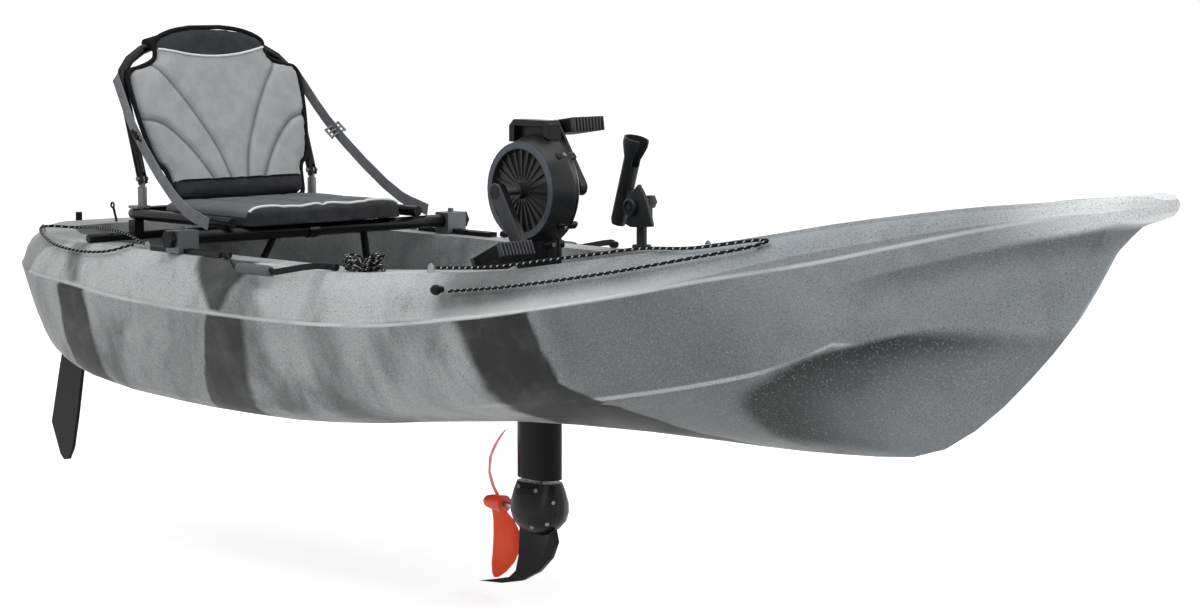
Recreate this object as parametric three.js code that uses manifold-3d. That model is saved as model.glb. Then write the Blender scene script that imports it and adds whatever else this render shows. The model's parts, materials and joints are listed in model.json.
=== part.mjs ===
// A sit-on-top pedal kayak: moulded hull, framed folding seat, pedal drive with its gears,
// steering rudder, rod holder, carry handles and deck rigging.
// Millimetres, X towards the bow, Y to port, Z up. The origin is on the flat hull bottom,
// on the centreline, under the front of the seat.
import * as THREE from 'three';
import { mergeVertices } from 'three/addons/utils/BufferGeometryUtils.js';
import Module from 'manifold-3d';

const wasm = await Module();
wasm.setup();

// Clearances
const gap = 0.3;
const overrun = 20;
const bite = 1;

// Hull
const hullLength = 3124;
const hullBeam = 860;
const hullHeight = 540;
const sternX = -1100;
const gunwaleShare = 0.593;
const gunwaleZ = gunwaleShare * hullHeight;
const rimShare = 0.898;
const rimHalf = (rimShare * hullBeam) / 2;
const alongHull = (share) => sternX + share * hullLength;
const acrossHull = (share) => share * hullBeam;
const rimRadius = 12;
const ledgeDepth = 6;
const ledgeHeight = 7;
const hullRings = 46;

// Cockpit, wells and holes in the hull
const cockpitRearX = alongHull(0.14725);
const cockpitStepX = alongHull(0.3217);
const cockpitFrontX = alongHull(0.57778);
const cockpitSide = 60.14;
const cockpitHalf = rimHalf - cockpitSide;
const cockpitDraft = 24;
const cockpitCorner = 90;
const seatFloorZ = 215;
const footFloorZ = 122;
const bulkheadDrop = 24;
const bowWellRearX = alongHull(0.58963);
const bowWellFrontX = alongHull(0.68502);
const bowWellRearHalf = acrossHull(0.34884);
const bowWellFrontHalf = acrossHull(0.26163);
const bowWellFloorZ = 236;
const sternWellRearX = alongHull(0.04321);
const sternWellFrontX = alongHull(0.1306);
const sternWellRearHalf = acrossHull(0.19186);
const sternWellFrontHalf = acrossHull(0.3314);
const sternWellFloorZ = 205;
const wellCorner = 60;
const scupperRadius = 16;
const seatScupperX = alongHull(0.24648);
const seatScupperY = 190;
const sternScupperX = alongHull(0.09603);
const sternScupperY = 120;
const driveX = alongHull(0.51216);
const slotRear = 192;
const slotFront = 76;
const slotHalf = 57;
const handRecessX = alongHull(0.38732);
const handRecessLength = 240;
const handRecessDepth = 34;
const handRecessHeight = 60;

// Rails that the seat slides on
const railInset = 24.14;
const railY = rimHalf - railInset;
const railWidth = 24;
const railHeight = 10;
const railRearX = alongHull(0.25608);
const railFrontX = alongHull(0.33419);
const railGroove = 9;
const railGrooveDepth = 5;

// Seat base
const frontBarX = alongHull(0.28809);
const seatDepth = 330;
const rearBarX = frontBarX - seatDepth;
const barRadius = 14;
const barLift = 29.78;
const barZ = gunwaleZ + barLift;
const rearBarRadius = 9.5;
const rearBarZ = gunwaleZ + rearBarRadius + gap;
const barSides = 8;
const clampLength = 44;
const clampWidth = 52;
const clampRoof = 4;
const clampTop = barRadius + clampRoof;
const collarWidth = 26;
const collarRadius = 17;
const knobRadius = 19;
const knobThickness = 13;
const knobLobes = 6;
const knobStud = 4;
const knobStudDepth = 9;
const nutRadius = 7;
const nutHeight = 9;
const sideTubeRadius = 12;
const sideTubeInset = 112;
const sideTubeY = railY - sideTubeInset;
const sideTubeAhead = 22;
const sideTubeBehind = 45;
const sideTubeFrontX = frontBarX + sideTubeAhead;
const sideTubeRearX = rearBarX - sideTubeBehind;
const sideTubeBend = 55;
const legClear = 39;
const legReach = barZ - seatFloorZ - legClear;
const legSplay = 34;
const legRadius = 8;
const legY = 120;
const cushionInset = 32;
const cushionHalf = sideTubeY - cushionInset;
const cushionAhead = 34;
const cushionRearInset = 15;
const cushionFrontX = frontBarX + cushionAhead;
const cushionRearX = rearBarX + cushionRearInset;
const cushionLift = 1.3;
const cushionBottomZ = barZ + barRadius + cushionLift;
const cushionEdge = 20;
const cushionCrown = 12;
const cushionChannel = 5;
const cushionLobes = 3;

// Seat back
const backPivotBehind = 3;
const backPivotRise = 102;
const backPivotX = rearBarX - backPivotBehind;
const backPivotZ = barZ + backPivotRise;
const backTilt = 19;
const backInset = 19;
const backHalf = sideTubeY - backInset;
const backTop = 321;
const backTubeRadius = 11;
const backArch = 104;
const pinRadius = 5;
const hingePlate = 6;
const hingePost = 10;
const hingeFoot = 34;
const padBack = 11.4;
const padThickness = 25;
const padCrown = 9;
const padLow = 42;
const padBelow = backPivotRise - padLow;
const padChannel = 4;
const padRibs = 5;
const strapWidth = 26;
const strapThickness = 2.4;
const strapTopShare = 0.72;
const strapSag = 58;
const strapEndInset = 66;
const strapEndY = railY - strapEndInset;
const buckleLength = 40;
const buckleWidth = 34;
const buckleThickness = 9;
const buckleShare = 0.34;

// Pedal drive above the hull
const crankRise = 149.78;
const crankZ = gunwaleZ + crankRise;
const drumRadius = 110;
const drumWall = 3.6;
const ringRadius = 96;
const ringInner = 82;
const ringY = 52;
const ringLip = 2;
const dishDraft = 3;
const dishDepth = 12;
const hubRadius = 16;
const drumFarDepth = 42;
const dishRibs = 24;
const dishRibWidth = 2.2;
const neckReach = 170;
const neckLow = crankZ - neckReach;
const legHalfX = 52;
const legHalfY = 28;
const legWall = 4;
const legRings = 24;
const handleLength = 118;
const handleRear = 13;
const handleRise = 45;
const handleWidth = 32;
const handleBar = 13;
const crankLength = 140;
const crankAngle = 33;
const crankArmY = 104;
const crankArmThickness = 13;
const crankBossRadius = 17;
const crankEyeRadius = 13;
const axleRadius = 8;
const spindleRadius = 6;
const pedalLength = 92;
const pedalWidth = 86;
const pedalThickness = 24;
const pedalStandoff = 9;
const pedalNearTilt = -24;
const pedalFarTilt = -8;
const pedalSlots = 6;
const pedalBar = 4.5;
const pedalRim = 7;

// Gears
const crownTeeth = 60;
const pinionTeeth = 12;
const crownInner = 57;
const crownOuter = 76;
const crownPlate = 6;
const lowerGearTeeth = 24;
const propPinionTeeth = 12;
const lowerGearOuter = 26;
const lowerGearInner = 18;
const lowerGearBacking = 5;
const toothShare = 0.43;
const addendumShare = 0.8;
const dedendumShare = 1.15;
const pressureAngle = 25;
const shaftRadius = 6;
const pinionBacking = 2;

// Pedal drive below the hull
const propZ = -172;
const gearboxHalfX = 62;
const gearboxHalfY = 50;
const gearboxHalfZ = 46;
const gearboxTopZ = -112;
const legLowZ = -106;
const gearboxWall = 8;
const propX = -126;
const propRadius = 150;
const propHubRadius = 15;
const propHubLength = 40;
const propNutLength = 20;
const finThickness = 12;
const finShort = 12;
const finDrop = propRadius - finShort;
const finSweep = 178;
const finChord = 92;
const baseLength = 330;
const baseWidth = 150;
const baseThickness = 12;
const baseForward = 128;
const baseCollar = 16;
const baseCollarWall = 8;
const screwX = 102;
const screwRadius = 5;
const screwHead = 17;
const screwHeadHeight = 12;
const screwDepth = 10;

// Rudder
const rudderStandoff = 35;
const bracketDrop = 20.22;
const bracketHeight = 95;
const bracketHighZ = gunwaleZ - bracketDrop;
const bracketLowZ = bracketHighZ - bracketHeight;
const bracketWidth = 40;
const bracketPlate = 6;
const stockRadius = 8;
const stockRise = 34;
const stockTopZ = bracketHighZ + stockRise;
const forkHalfX = 20;
const forkCheek = 7;
const forkLowZ = 46;
const forkWebZ = 122;
const forkWebHeight = 16;
const rudderPinZ = 70;
const rudderPinRadius = 5;
const rudderPinHead = 4;
const bladeThickness = 9;
const bladeDrop = 338;
const bladeChord = 130;
const tillerHalf = 47;
const tillerThickness = 7;
const tillerWidth = 22;

// Rod holder
const holderX = alongHull(0.48496);
const holderFlange = 20;
const holderFlangeHeight = 7;
const holderPostRadius = 11;
const holderPostTop = 48;
const knuckleRadius = 19;
const knuckleHeight = 60;
const cradleTilt = 17;
const cradleLength = 190;
const cradleRadius = 27;
const cradleWall = 3.5;
const cradleFootShare = 0.66;
const cradlePivotShare = 0.36;
const holderKnobRadius = 15;

// Carry handles
const carryRearX = alongHull(0.34251);
const carryFrontX = alongHull(0.45455);
const carryInset = 14.14;
const carryY = rimHalf - carryInset;
const carryEye = 7;
const carryEyeLength = 16;
const carryBulge = 34;
const carryDrop = 17;
const carryStrapWidth = 18;
const carryStrapThickness = 3;
const gripX = alongHull(0.38668);
const gripLength = 108;
const gripRadius = 11;

// Rigging
const bungeeRadius = 3;
const studRadius = 5.5;
const eyeRadius = 9;
const eyeThickness = 5;
const hookRadius = 14;
const hookX = alongHull(0.57298);
const hookShoulder = 0.4;
const cordShoulder = 0.44;
const cordTurnShoulder = 0.36;
const cordBackShoulder = 0.6;
const bowCordEndX = alongHull(0.55186);
const bowRimX = alongHull(0.71063);
const bowTurnX = alongHull(0.79706);
const cordLift = 9;
const sternCordFrontX = alongHull(0.2452);
const sternCordOver = 92;
const sternCordMiddleX = alongHull(0.15621);
const sternCordMiddleIn = 72;
const sternCordMiddleY = railY - sternCordMiddleIn;
const sternCordRearX = alongHull(0.09123);
const sternCordRearIn = 140;
const sternCordInnerY = railY - sternCordRearIn;
const sternCordEyeX = alongHull(0.19046);
const sternLoopX = alongHull(0.03937);
const sternLoopRise = 32;
const hankAhead = 76;
const hankX = carryFrontX + hankAhead;
const hankLength = 120;
const hankWidth = 44;
const hankCord = 5.2;
const hankPitch = 6.1;
const hankTurns = 3;
const hankLayers = 2;
const hankLayerGap = 0.9;

// Facets
const roundSides = 16;
const smallSides = 10;
const tubeSides = 8;
const bandSides = 12;
const cradleSides = 20;
const drumSides = 40;
const ballSides = 10;
const ballRings = 6;
const bendSteps = 10;
const sideSteps = 8;
const shoulderSteps = 3;

// Finishes: colour, roughness, metalness
const finishes = {
  hull: [0x8b9094, 0.62, 0],
  black: [0x15161a, 0.42, 0],
  frame: [0x17181a, 0.35, 0.4],
  silver: [0x8f9296, 0.35, 0.8],
  steel: [0xaeb1b5, 0.28, 1],
  cloth: [0x707377, 0.9, 0],
  web: [0x5d6064, 0.85, 0],
  cord: [0x1b1c1f, 0.8, 0],
  grip: [0x63666a, 0.75, 0],
  red: [0xe2351c, 0.4, 0],
};

const degrees = (value) => THREE.MathUtils.degToRad(value);
const vec = (x, y, z) => new THREE.Vector3(x, y, z);

function finish(name) {
  const [color, roughness, metalness] = finishes[name];
  return new THREE.MeshStandardMaterial({ color, roughness, metalness });
}

// A named mesh, put into its group at a place
function piece(group, name, geometry, look, place = vec(0, 0, 0), turn = [0, 0, 0]) {
  const mesh = new THREE.Mesh(geometry, finish(look));
  mesh.name = name;
  mesh.position.copy(place);
  mesh.rotation.set(...turn);
  group.add(mesh);
  return mesh;
}

// Booleans
function solidOf(geometry) {
  const bare = geometry.clone();
  bare.deleteAttribute('normal');
  bare.deleteAttribute('uv');
  const merged = mergeVertices(bare);
  return new wasm.Manifold(new wasm.Mesh({
    numProp: 3,
    vertProperties: new Float32Array(merged.attributes.position.array),
    triVerts: new Uint32Array(merged.index.array),
  }));
}

function geometryOf(solid) {
  const mesh = solid.getMesh();
  const geometry = new THREE.BufferGeometry();
  geometry.setAttribute('position', new THREE.BufferAttribute(mesh.vertProperties, 3));
  geometry.setIndex(new THREE.BufferAttribute(mesh.triVerts, 1));
  geometry.computeVertexNormals();
  return geometry;
}

function cut(geometry, ...tools) {
  return geometryOf(tools.reduce((solid, tool) => solid.subtract(solidOf(tool)), solidOf(geometry)));
}

function join(geometry, ...others) {
  return geometryOf(others.reduce((solid, other) => solid.add(solidOf(other)), solidOf(geometry)));
}

function keep(geometry, tool) {
  return geometryOf(solidOf(geometry).intersect(solidOf(tool)));
}

// Moves a geometry and returns it
function at(geometry, x, y, z) {
  return geometry.translate(x, y, z);
}

function cylinder(radius, length, axis, sides = roundSides, endRadius = radius) {
  const shape = new THREE.CylinderGeometry(endRadius, radius, length, sides);
  if (axis === 'x') shape.rotateZ(-Math.PI / 2);
  if (axis === 'z') shape.rotateX(Math.PI / 2);
  return shape;
}

function block(x, y, z) {
  return new THREE.BoxGeometry(x, y, z);
}

// A flat outline in X and Y, raised from z = 0 to a height
function raised(points, height) {
  const shape = new THREE.Shape(points.map(([x, y]) => new THREE.Vector2(x, y)));
  return new THREE.ExtrudeGeometry(shape, { depth: height, bevelEnabled: false });
}

// The same outline drawn in X and Z, centred in thickness on Y
function upright(points, thickness) {
  const shape = raised(points, thickness);
  shape.rotateX(Math.PI / 2);
  return shape.translate(0, thickness / 2, 0);
}

// A closed mesh with its faces turned outwards
function outward(positions, index) {
  let volume = 0;
  const corner = (i) => vec(positions[3 * i], positions[3 * i + 1], positions[3 * i + 2]);
  for (let i = 0; i < index.length; i += 3) {
    volume += corner(index[i]).dot(corner(index[i + 1]).cross(corner(index[i + 2])));
  }
  if (volume < 0) index.reverse();
  const geometry = new THREE.BufferGeometry();
  geometry.setAttribute('position', new THREE.Float32BufferAttribute(positions, 3));
  geometry.setIndex(index);
  geometry.computeVertexNormals();
  return geometry;
}

// A skin over rings with equally many points. It is capped at both ends, or, when the rings
// are looped, its last ring meets the first, as the wall of a pipe does.
function loft(rings, looped = false) {
  const count = rings[0].length;
  const positions = rings.flat().flatMap((p) => [p.x, p.y, p.z]);
  const index = [];
  const spans = looped ? rings.length : rings.length - 1;
  for (let r = 0; r < spans; r += 1) {
    const next = (r + 1) % rings.length;
    for (let i = 0; i < count; i += 1) {
      const j = (i + 1) % count;
      const [a, b, c, d] = [r * count + i, r * count + j, next * count + j, next * count + i];
      index.push(a, b, c, a, c, d);
    }
  }
  if (!looped) {
    for (const r of [0, rings.length - 1]) {
      const centre = rings[r].reduce((sum, p) => sum.add(p), vec(0, 0, 0)).divideScalar(count);
      const middle = positions.length / 3;
      positions.push(centre.x, centre.y, centre.z);
      for (let i = 0; i < count; i += 1) {
        const [a, b] = [r * count + i, r * count + ((i + 1) % count)];
        index.push(...(r === 0 ? [middle, b, a] : [middle, a, b]));
      }
    }
  }
  return outward(positions, index);
}

// A rounded oval ring, from a circle at power 2 to nearly a rectangle at high powers
function oval(halfA, halfB, power, count, place) {
  const ring = [];
  for (let i = 0; i < count; i += 1) {
    const angle = (2 * Math.PI * (i + 0.5)) / count;
    const [c, s] = [Math.cos(angle), Math.sin(angle)];
    const a = halfA * Math.sign(c) * Math.abs(c) ** (2 / power);
    const b = halfB * Math.sign(s) * Math.abs(s) ** (2 / power);
    ring.push(place(a, b));
  }
  return ring;
}

// A path whose listed points are the steps of a sweep
class StepPath extends THREE.Curve {
  constructor(points) {
    super();
    this.points = points;
  }

  getPoint(t, target = vec(0, 0, 0)) {
    const place = t * (this.points.length - 1);
    const first = Math.min(Math.floor(place), this.points.length - 2);
    return target.lerpVectors(this.points[first], this.points[first + 1], place - first);
  }

  getPointAt(u, target) {
    return this.getPoint(u, target);
  }

  getTangentAt(u, target = vec(0, 0, 0)) {
    const i = Math.round(u * (this.points.length - 1));
    const before = this.points[Math.max(i - 1, 0)];
    const after = this.points[Math.min(i + 1, this.points.length - 1)];
    const here = this.points[i];
    target.set(0, 0, 0);
    if (i > 0) target.add(here.clone().sub(before).normalize());
    if (i < this.points.length - 1) target.add(after.clone().sub(here).normalize());
    return target.normalize();
  }
}

// Corner points with each corner rounded in a few steps
function rounded(points, radius, steps = 4) {
  const path = [points[0]];
  for (let i = 1; i < points.length - 1; i += 1) {
    const into = points[i - 1].clone().sub(points[i]);
    const out = points[i + 1].clone().sub(points[i]);
    const reach = Math.min(radius, into.length() / 2, out.length() / 2);
    const start = points[i].clone().addScaledVector(into.normalize(), reach);
    const end = points[i].clone().addScaledVector(out.normalize(), reach);
    const bend = new THREE.QuadraticBezierCurve3(start, points[i], end);
    path.push(...bend.getPoints(steps));
  }
  path.push(points[points.length - 1]);
  return path;
}

function sweep(points, section) {
  const settings = { steps: points.length - 1, extrudePath: new StepPath(points), bevelEnabled: false };
  return new THREE.ExtrudeGeometry(section, settings);
}

function roundSection(radius, sides) {
  const shape = new THREE.Shape();
  for (let i = 0; i < sides; i += 1) {
    const angle = (2 * Math.PI * i) / sides;
    const [x, y] = [radius * Math.cos(angle), radius * Math.sin(angle)];
    if (i === 0) shape.moveTo(x, y);
    else shape.lineTo(x, y);
  }
  return shape;
}

function pipe(points, radius, sides = tubeSides) {
  return sweep(points, roundSection(radius, sides));
}

// A smooth curve through points, in a number of steps
function smooth(points, steps) {
  return new THREE.CatmullRomCurve3(points, false, 'centripetal').getPoints(steps);
}

// A flat band along points; its width lies along a fixed direction
function band(points, width, thickness, across) {
  const rings = points.map((point, i) => {
    const before = points[Math.max(i - 1, 0)];
    const after = points[Math.min(i + 1, points.length - 1)];
    const along = after.clone().sub(before).normalize();
    const side = across.clone().addScaledVector(along, -across.dot(along)).normalize();
    const up = along.clone().cross(side);
    return [[1, 1], [-1, 1], [-1, -1], [1, -1]].map(([a, b]) => point.clone()
      .addScaledVector(side, (a * width) / 2).addScaledVector(up, (b * thickness) / 2));
  });
  return loft(rings);
}

// HULL STATIONS. Each row runs from the stern to the bow. Its first value is a share of the
// length, the widths are shares of the half beam and the heights are shares of the hull's
// height: keel, flat bottom edge (half, height), chine (half, height), waist of the side
// (half, height), rub line (half, height), rim (half, height) and the deck's centre.
const g = gunwaleShare;
const stationShares = [
  [0, 0.324, 0.047, 0.333, 0.081, 0.37, 0.105, 0.435, 0.116, 0.493, 0.07, 0.581, 0.589],
  [0.003, 0.204, 0.105, 0.222, 0.151, 0.278, 0.186, 0.389, 0.209, 0.489, 0.144, 0.589, 0.591],
  [0.013, 0.139, 0.186, 0.157, 0.256, 0.222, 0.314, 0.352, 0.349, 0.483, 0.26, g, g],
  [0.032, 0.074, 0.279, 0.093, 0.395, 0.167, 0.477, 0.315, 0.516, 0.476, 0.419, g, g],
  [0.064, 0.046, 0.395, 0.065, 0.547, 0.157, 0.64, 0.296, 0.716, 0.465, 0.609, g, g],
  [0.096, 0.022, 0.535, 0.046, 0.686, 0.148, 0.779, 0.287, 0.837, 0.45, 0.74, g, g],
  [0.128, 0.009, 0.628, 0.037, 0.802, 0.13, 0.879, 0.259, 0.926, 0.435, 0.819, g, g],
  [0.16, 0.004, 0.674, 0.026, 0.837, 0.087, 0.921, 0.222, 0.972, 0.424, 0.86, g, g],
  [0.192, 0, 0.698, 0.017, 0.86, 0.069, 0.94, 0.204, 0.993, 0.415, 0.881, g, g],
  [0.23, 0, 0.712, 0.006, 0.874, 0.05, 0.949, 0.185, 1, 0.409, 0.893, g, g],
  [0.333, 0, 0.733, 0, 0.884, 0.035, 0.96, 0.17, 1, 0.396, 0.898, g, g],
  [0.371, 0, 0.733, 0, 0.882, 0.044, 0.958, 0.178, 1, 0.398, 0.898, g, g],
  [0.416, 0.002, 0.698, 0.009, 0.879, 0.056, 0.956, 0.185, 1, 0.398, 0.898, g, g],
  [0.464, 0.009, 0.64, 0.028, 0.865, 0.083, 0.949, 0.213, 1, 0.404, 0.898, g, g],
  [0.512, 0.022, 0.558, 0.059, 0.828, 0.126, 0.94, 0.25, 1, 0.441, 0.888, 0.613, 0.609],
  [0.544, 0.033, 0.512, 0.078, 0.814, 0.148, 0.93, 0.278, 0.998, 0.463, 0.881, 0.624, 0.619],
  [0.592, 0.048, 0.442, 0.093, 0.791, 0.18, 0.916, 0.311, 0.993, 0.493, 0.87, 0.644, 0.633],
  [0.656, 0.048, 0.36, 0.104, 0.698, 0.224, 0.851, 0.37, 0.965, 0.55, 0.833, 0.698, 0.674],
  [0.72, 0.052, 0.267, 0.119, 0.581, 0.283, 0.726, 0.441, 0.902, 0.626, 0.756, 0.756, 0.722],
  [0.784, 0.069, 0.186, 0.144, 0.442, 0.37, 0.526, 0.528, 0.779, 0.722, 0.633, 0.822, 0.785],
  [0.832, 0.096, 0.121, 0.17, 0.321, 0.393, 0.344, 0.57, 0.647, 0.793, 0.512, 0.878, 0.837],
  [0.871, 0.204, 0.079, 0.244, 0.198, 0.407, 0.221, 0.62, 0.507, 0.843, 0.4, 0.915, 0.874],
  [0.905, 0.367, 0.056, 0.4, 0.126, 0.518, 0.149, 0.685, 0.391, 0.883, 0.307, 0.943, 0.907],
  [0.938, 0.57, 0.042, 0.593, 0.079, 0.659, 0.105, 0.769, 0.291, 0.915, 0.228, 0.963, 0.933],
  [0.959, 0.763, 0.033, 0.774, 0.056, 0.804, 0.079, 0.852, 0.223, 0.933, 0.177, 0.976, 0.952],
  [0.968, 0.87, 0.07, 0.874, 0.112, 0.88, 0.14, 0.893, 0.193, 0.937, 0.158, 0.981, 0.961],
  [0.985, 0.907, 0.06, 0.909, 0.102, 0.913, 0.121, 0.922, 0.153, 0.952, 0.126, 0.996, 0.981],
  [0.995, 0.926, 0.042, 0.928, 0.074, 0.931, 0.088, 0.939, 0.107, 0.963, 0.088, 0.994, 0.991],
  [1, 0.943, 0.023, 0.944, 0.037, 0.946, 0.046, 0.952, 0.056, 0.967, 0.042, 0.983, 0.981],
];

// One column of the stations at a share of the length, joined by smooth curves that do not
// overshoot between equal values
function station(share, column) {
  const rows = stationShares;
  let i = rows.findIndex((row) => row[0] >= share) - 1;
  i = Math.max(0, Math.min(i, rows.length - 2));
  const slope = (k) => (rows[k + 1][column] - rows[k][column]) / (rows[k + 1][0] - rows[k][0]);
  const lean = (k) => {
    if (k === 0 || k === rows.length - 1) return slope(Math.min(k, rows.length - 2));
    const [a, b] = [slope(k - 1), slope(k)];
    return a * b <= 0 ? 0 : (2 * a * b) / (a + b);
  };
  const step = rows[i + 1][0] - rows[i][0];
  const t = (share - rows[i][0]) / step;
  const [t2, t3] = [t * t, t * t * t];
  return rows[i][column] * (2 * t3 - 3 * t2 + 1) + lean(i) * step * (t3 - 2 * t2 + t)
    + rows[i + 1][column] * (3 * t2 - 2 * t3) + lean(i + 1) * step * (t3 - t2);
}

// The hull's own sizes at a place along X
function hullAt(x) {
  const share = THREE.MathUtils.clamp((x - sternX) / hullLength, 0, 1);
  const half = (column) => (station(share, column) * hullBeam) / 2;
  const high = (column) => station(share, column) * hullHeight;
  return {
    keel: high(1),
    flat: [half(2), high(3)],
    chine: [half(4), high(5)],
    waist: [half(6), high(7)],
    rub: [half(8), high(9)],
    rim: [half(10), high(11)],
    crown: high(12),
  };
}

// One half of a hull section, from the keel up to the middle of the deck, as [y, z]
function hullHalf(x) {
  const h = hullAt(x);
  const [rubY, rubZ] = h.rub;
  const [rimY, rimZ] = h.rim;
  const share = Math.min(1, rimY / (rimRadius * 4));
  const ledge = ledgeDepth * share;
  const edge = rimRadius * share;
  const knots = [h.flat, h.chine, h.waist, h.rub].map(([y, z]) => new THREE.Vector2(y, z));
  const side = new THREE.SplineCurve(knots);
  const points = [[0, h.keel], ...side.getPoints(sideSteps).map((p) => [p.x, p.y])];
  const shoulder = new THREE.QuadraticBezierCurve(
    new THREE.Vector2(rubY - ledge, rubZ + ledgeHeight * share),
    new THREE.Vector2(rubY - ledge - (rubY - rimY) * 0.25, rubZ + (rimZ - rubZ) * 0.75),
    new THREE.Vector2(rimY, rimZ - edge * 0.6),
  );
  points.push(...shoulder.getPoints(shoulderSteps).map((p) => [p.x, p.y]));
  points.push([rimY - edge * 0.35, rimZ - edge * 0.1], [rimY - edge, rimZ]);
  points.push([(rimY - edge) / 2, (rimZ + h.crown) / 2], [0, h.crown]);
  return points;
}

function hullShell() {
  const rings = [];
  const shares = [];
  for (let i = 0; i <= hullRings; i += 1) shares.push(i / hullRings);
  const packed = shares.map((t) => t - Math.sin(2 * Math.PI * t) / 9);
  for (const share of packed) {
    const x = sternX + share * hullLength;
    const half = hullHalf(x);
    const port = half.map(([y, z]) => vec(x, y, z));
    const starboard = half.slice(1, -1).reverse().map(([y, z]) => vec(x, -y, z));
    rings.push([...port, ...starboard]);
  }
  return loft(rings);
}

// A well with rounded corners and walls that lean in towards its floor
function well(rearX, frontX, rearHalf, frontHalf, floorZ, topZ, corner) {
  const outline = (inset) => {
    const [x0, x1] = [rearX + inset, frontX - inset];
    const [y0, y1] = [rearHalf - inset, frontHalf - inset];
    const corners = [vec(x0, -y0, 0), vec(x1, -y1, 0), vec(x1, y1, 0), vec(x0, y0, 0)];
    const ring = [];
    corners.forEach((point, i) => {
      const before = corners[(i + 3) % 4].clone().sub(point).setLength(corner);
      const after = corners[(i + 1) % 4].clone().sub(point).setLength(corner);
      const bend = new THREE.QuadraticBezierCurve3(point.clone().add(before), point, point.clone().add(after));
      ring.push(...bend.getPoints(4));
    });
    return ring;
  };
  const level = (inset, z) => outline(inset).map((p) => vec(p.x, p.y, z));
  const foot = cockpitDraft / 2;
  return loft([level(cockpitDraft + foot, floorZ), level(cockpitDraft, floorZ + foot), level(0, topZ)]);
}

function mirrored(make) {
  return [-1, 1].map((side) => make(side));
}

// A rectangle's outline about the middle, with its corners cut off
function clipped(a, b, c) {
  return [
    [-a, -b + c], [-a + c, -b], [a - c, -b], [a, -b + c],
    [a, b - c], [a - c, b], [-a + c, b], [-a, b - c],
  ];
}

function driveSlot() {
  const length = slotRear + slotFront;
  const [a, b] = [length / 2, slotHalf];
  const c = slotHalf / 2;
  const outline = clipped(a, b, c);
  const height = footFloorZ + overrun * 2;
  return at(raised(outline, height), driveX + (slotFront - slotRear) / 2, 0, -overrun);
}

function padEye(x, y, z) {
  const outline = [[-eyeRadius, 0], [eyeRadius, 0], [eyeRadius * 0.7, eyeRadius * 1.3], [0, eyeRadius * 1.9],
    [-eyeRadius * 0.7, eyeRadius * 1.3]];
  return at(upright(outline, eyeThickness), x, y, z - bite);
}

function hull() {
  const top = hullHeight + overrun;
  const tools = [
    well(cockpitRearX, cockpitStepX + cockpitCorner, cockpitHalf, cockpitHalf, seatFloorZ, top, cockpitCorner),
    well(cockpitStepX - cockpitCorner, cockpitFrontX, cockpitHalf, cockpitHalf - cockpitDraft, footFloorZ, top,
      cockpitCorner),
    well(sternWellRearX, sternWellFrontX, sternWellRearHalf, sternWellFrontHalf, sternWellFloorZ, top,
      wellCorner),
    well(bowWellRearX, bowWellFrontX, bowWellRearHalf, bowWellFrontHalf, bowWellFloorZ, top, wellCorner),
    driveSlot(),
    at(block((bowWellRearX - cockpitFrontX) * 3, bowWellFrontHalf * 2, top - gunwaleZ + bulkheadDrop),
      (bowWellRearX + cockpitFrontX) / 2, 0, (top + gunwaleZ - bulkheadDrop) / 2),
    at(cylinder(screwRadius + gap, screwDepth * 2, 'z'), driveX + screwX, 0, footFloorZ),
  ];
  for (const side of [-1, 1]) {
    const scuppers = [
      [seatScupperX, seatScupperY, seatFloorZ], [sternScupperX, sternScupperY, sternWellFloorZ],
    ];
    for (const [x, y, floor] of scuppers) {
      tools.push(at(cylinder(scupperRadius, floor + overrun * 2, 'z', bandSides), x, side * y, floor / 2));
    }
    const scoop = new THREE.SphereGeometry(1, roundSides, roundSides / 2);
    scoop.scale(handRecessLength / 2, handRecessDepth, handRecessHeight / 2);
    tools.push(at(scoop, handRecessX, (side * hullBeam) / 2, gunwaleZ - handRecessHeight * 0.42));
  }
  return join(cut(hullShell(), ...tools), ...padEyes());
}

// Eyes moulded on the deck for the cords
function padEyes() {
  const eyes = [];
  for (const side of [-1, 1]) {
    eyes.push(padEye(sternCordFrontX + eyeRadius * 0.86, side * railY, gunwaleZ));
    const sternY = hullAt(sternCordRearX).rim[0] - rimRadius * 3;
    eyes.push(padEye(sternCordRearX - eyeRadius * 5, side * sternY, gunwaleZ));
    const stud = onShoulder(bowTurnX, (cordTurnShoulder + cordBackShoulder) / 2, side, studRadius / 2);
    eyes.push(at(new THREE.SphereGeometry(studRadius, ballSides, ballRings), stud.x, stud.y, stud.z));
    const [rimY, rimZ] = hullAt(bowCordEndX).rim;
    eyes.push(padEye(bowCordEndX - eyeRadius * 2, side * (rimY - rimRadius), rimZ));
  }
  return eyes;
}

// SEAT RAILS
function rail() {
  const length = railFrontX - railRearX;
  const bar = block(length, railWidth, railHeight);
  const groove = at(block(length + overrun, railGroove, railGrooveDepth * 2), 0, 0, railHeight / 2);
  return cut(bar, groove);
}

function knob(radius, thickness, lobes) {
  const points = [];
  const steps = lobes * 4;
  for (let i = 0; i < steps; i += 1) {
    const angle = (2 * Math.PI * i) / steps;
    const reach = radius * (0.92 + 0.08 * Math.cos(angle * lobes));
    points.push([reach * Math.cos(angle), reach * Math.sin(angle)]);
  }
  return raised(points, thickness);
}

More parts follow.
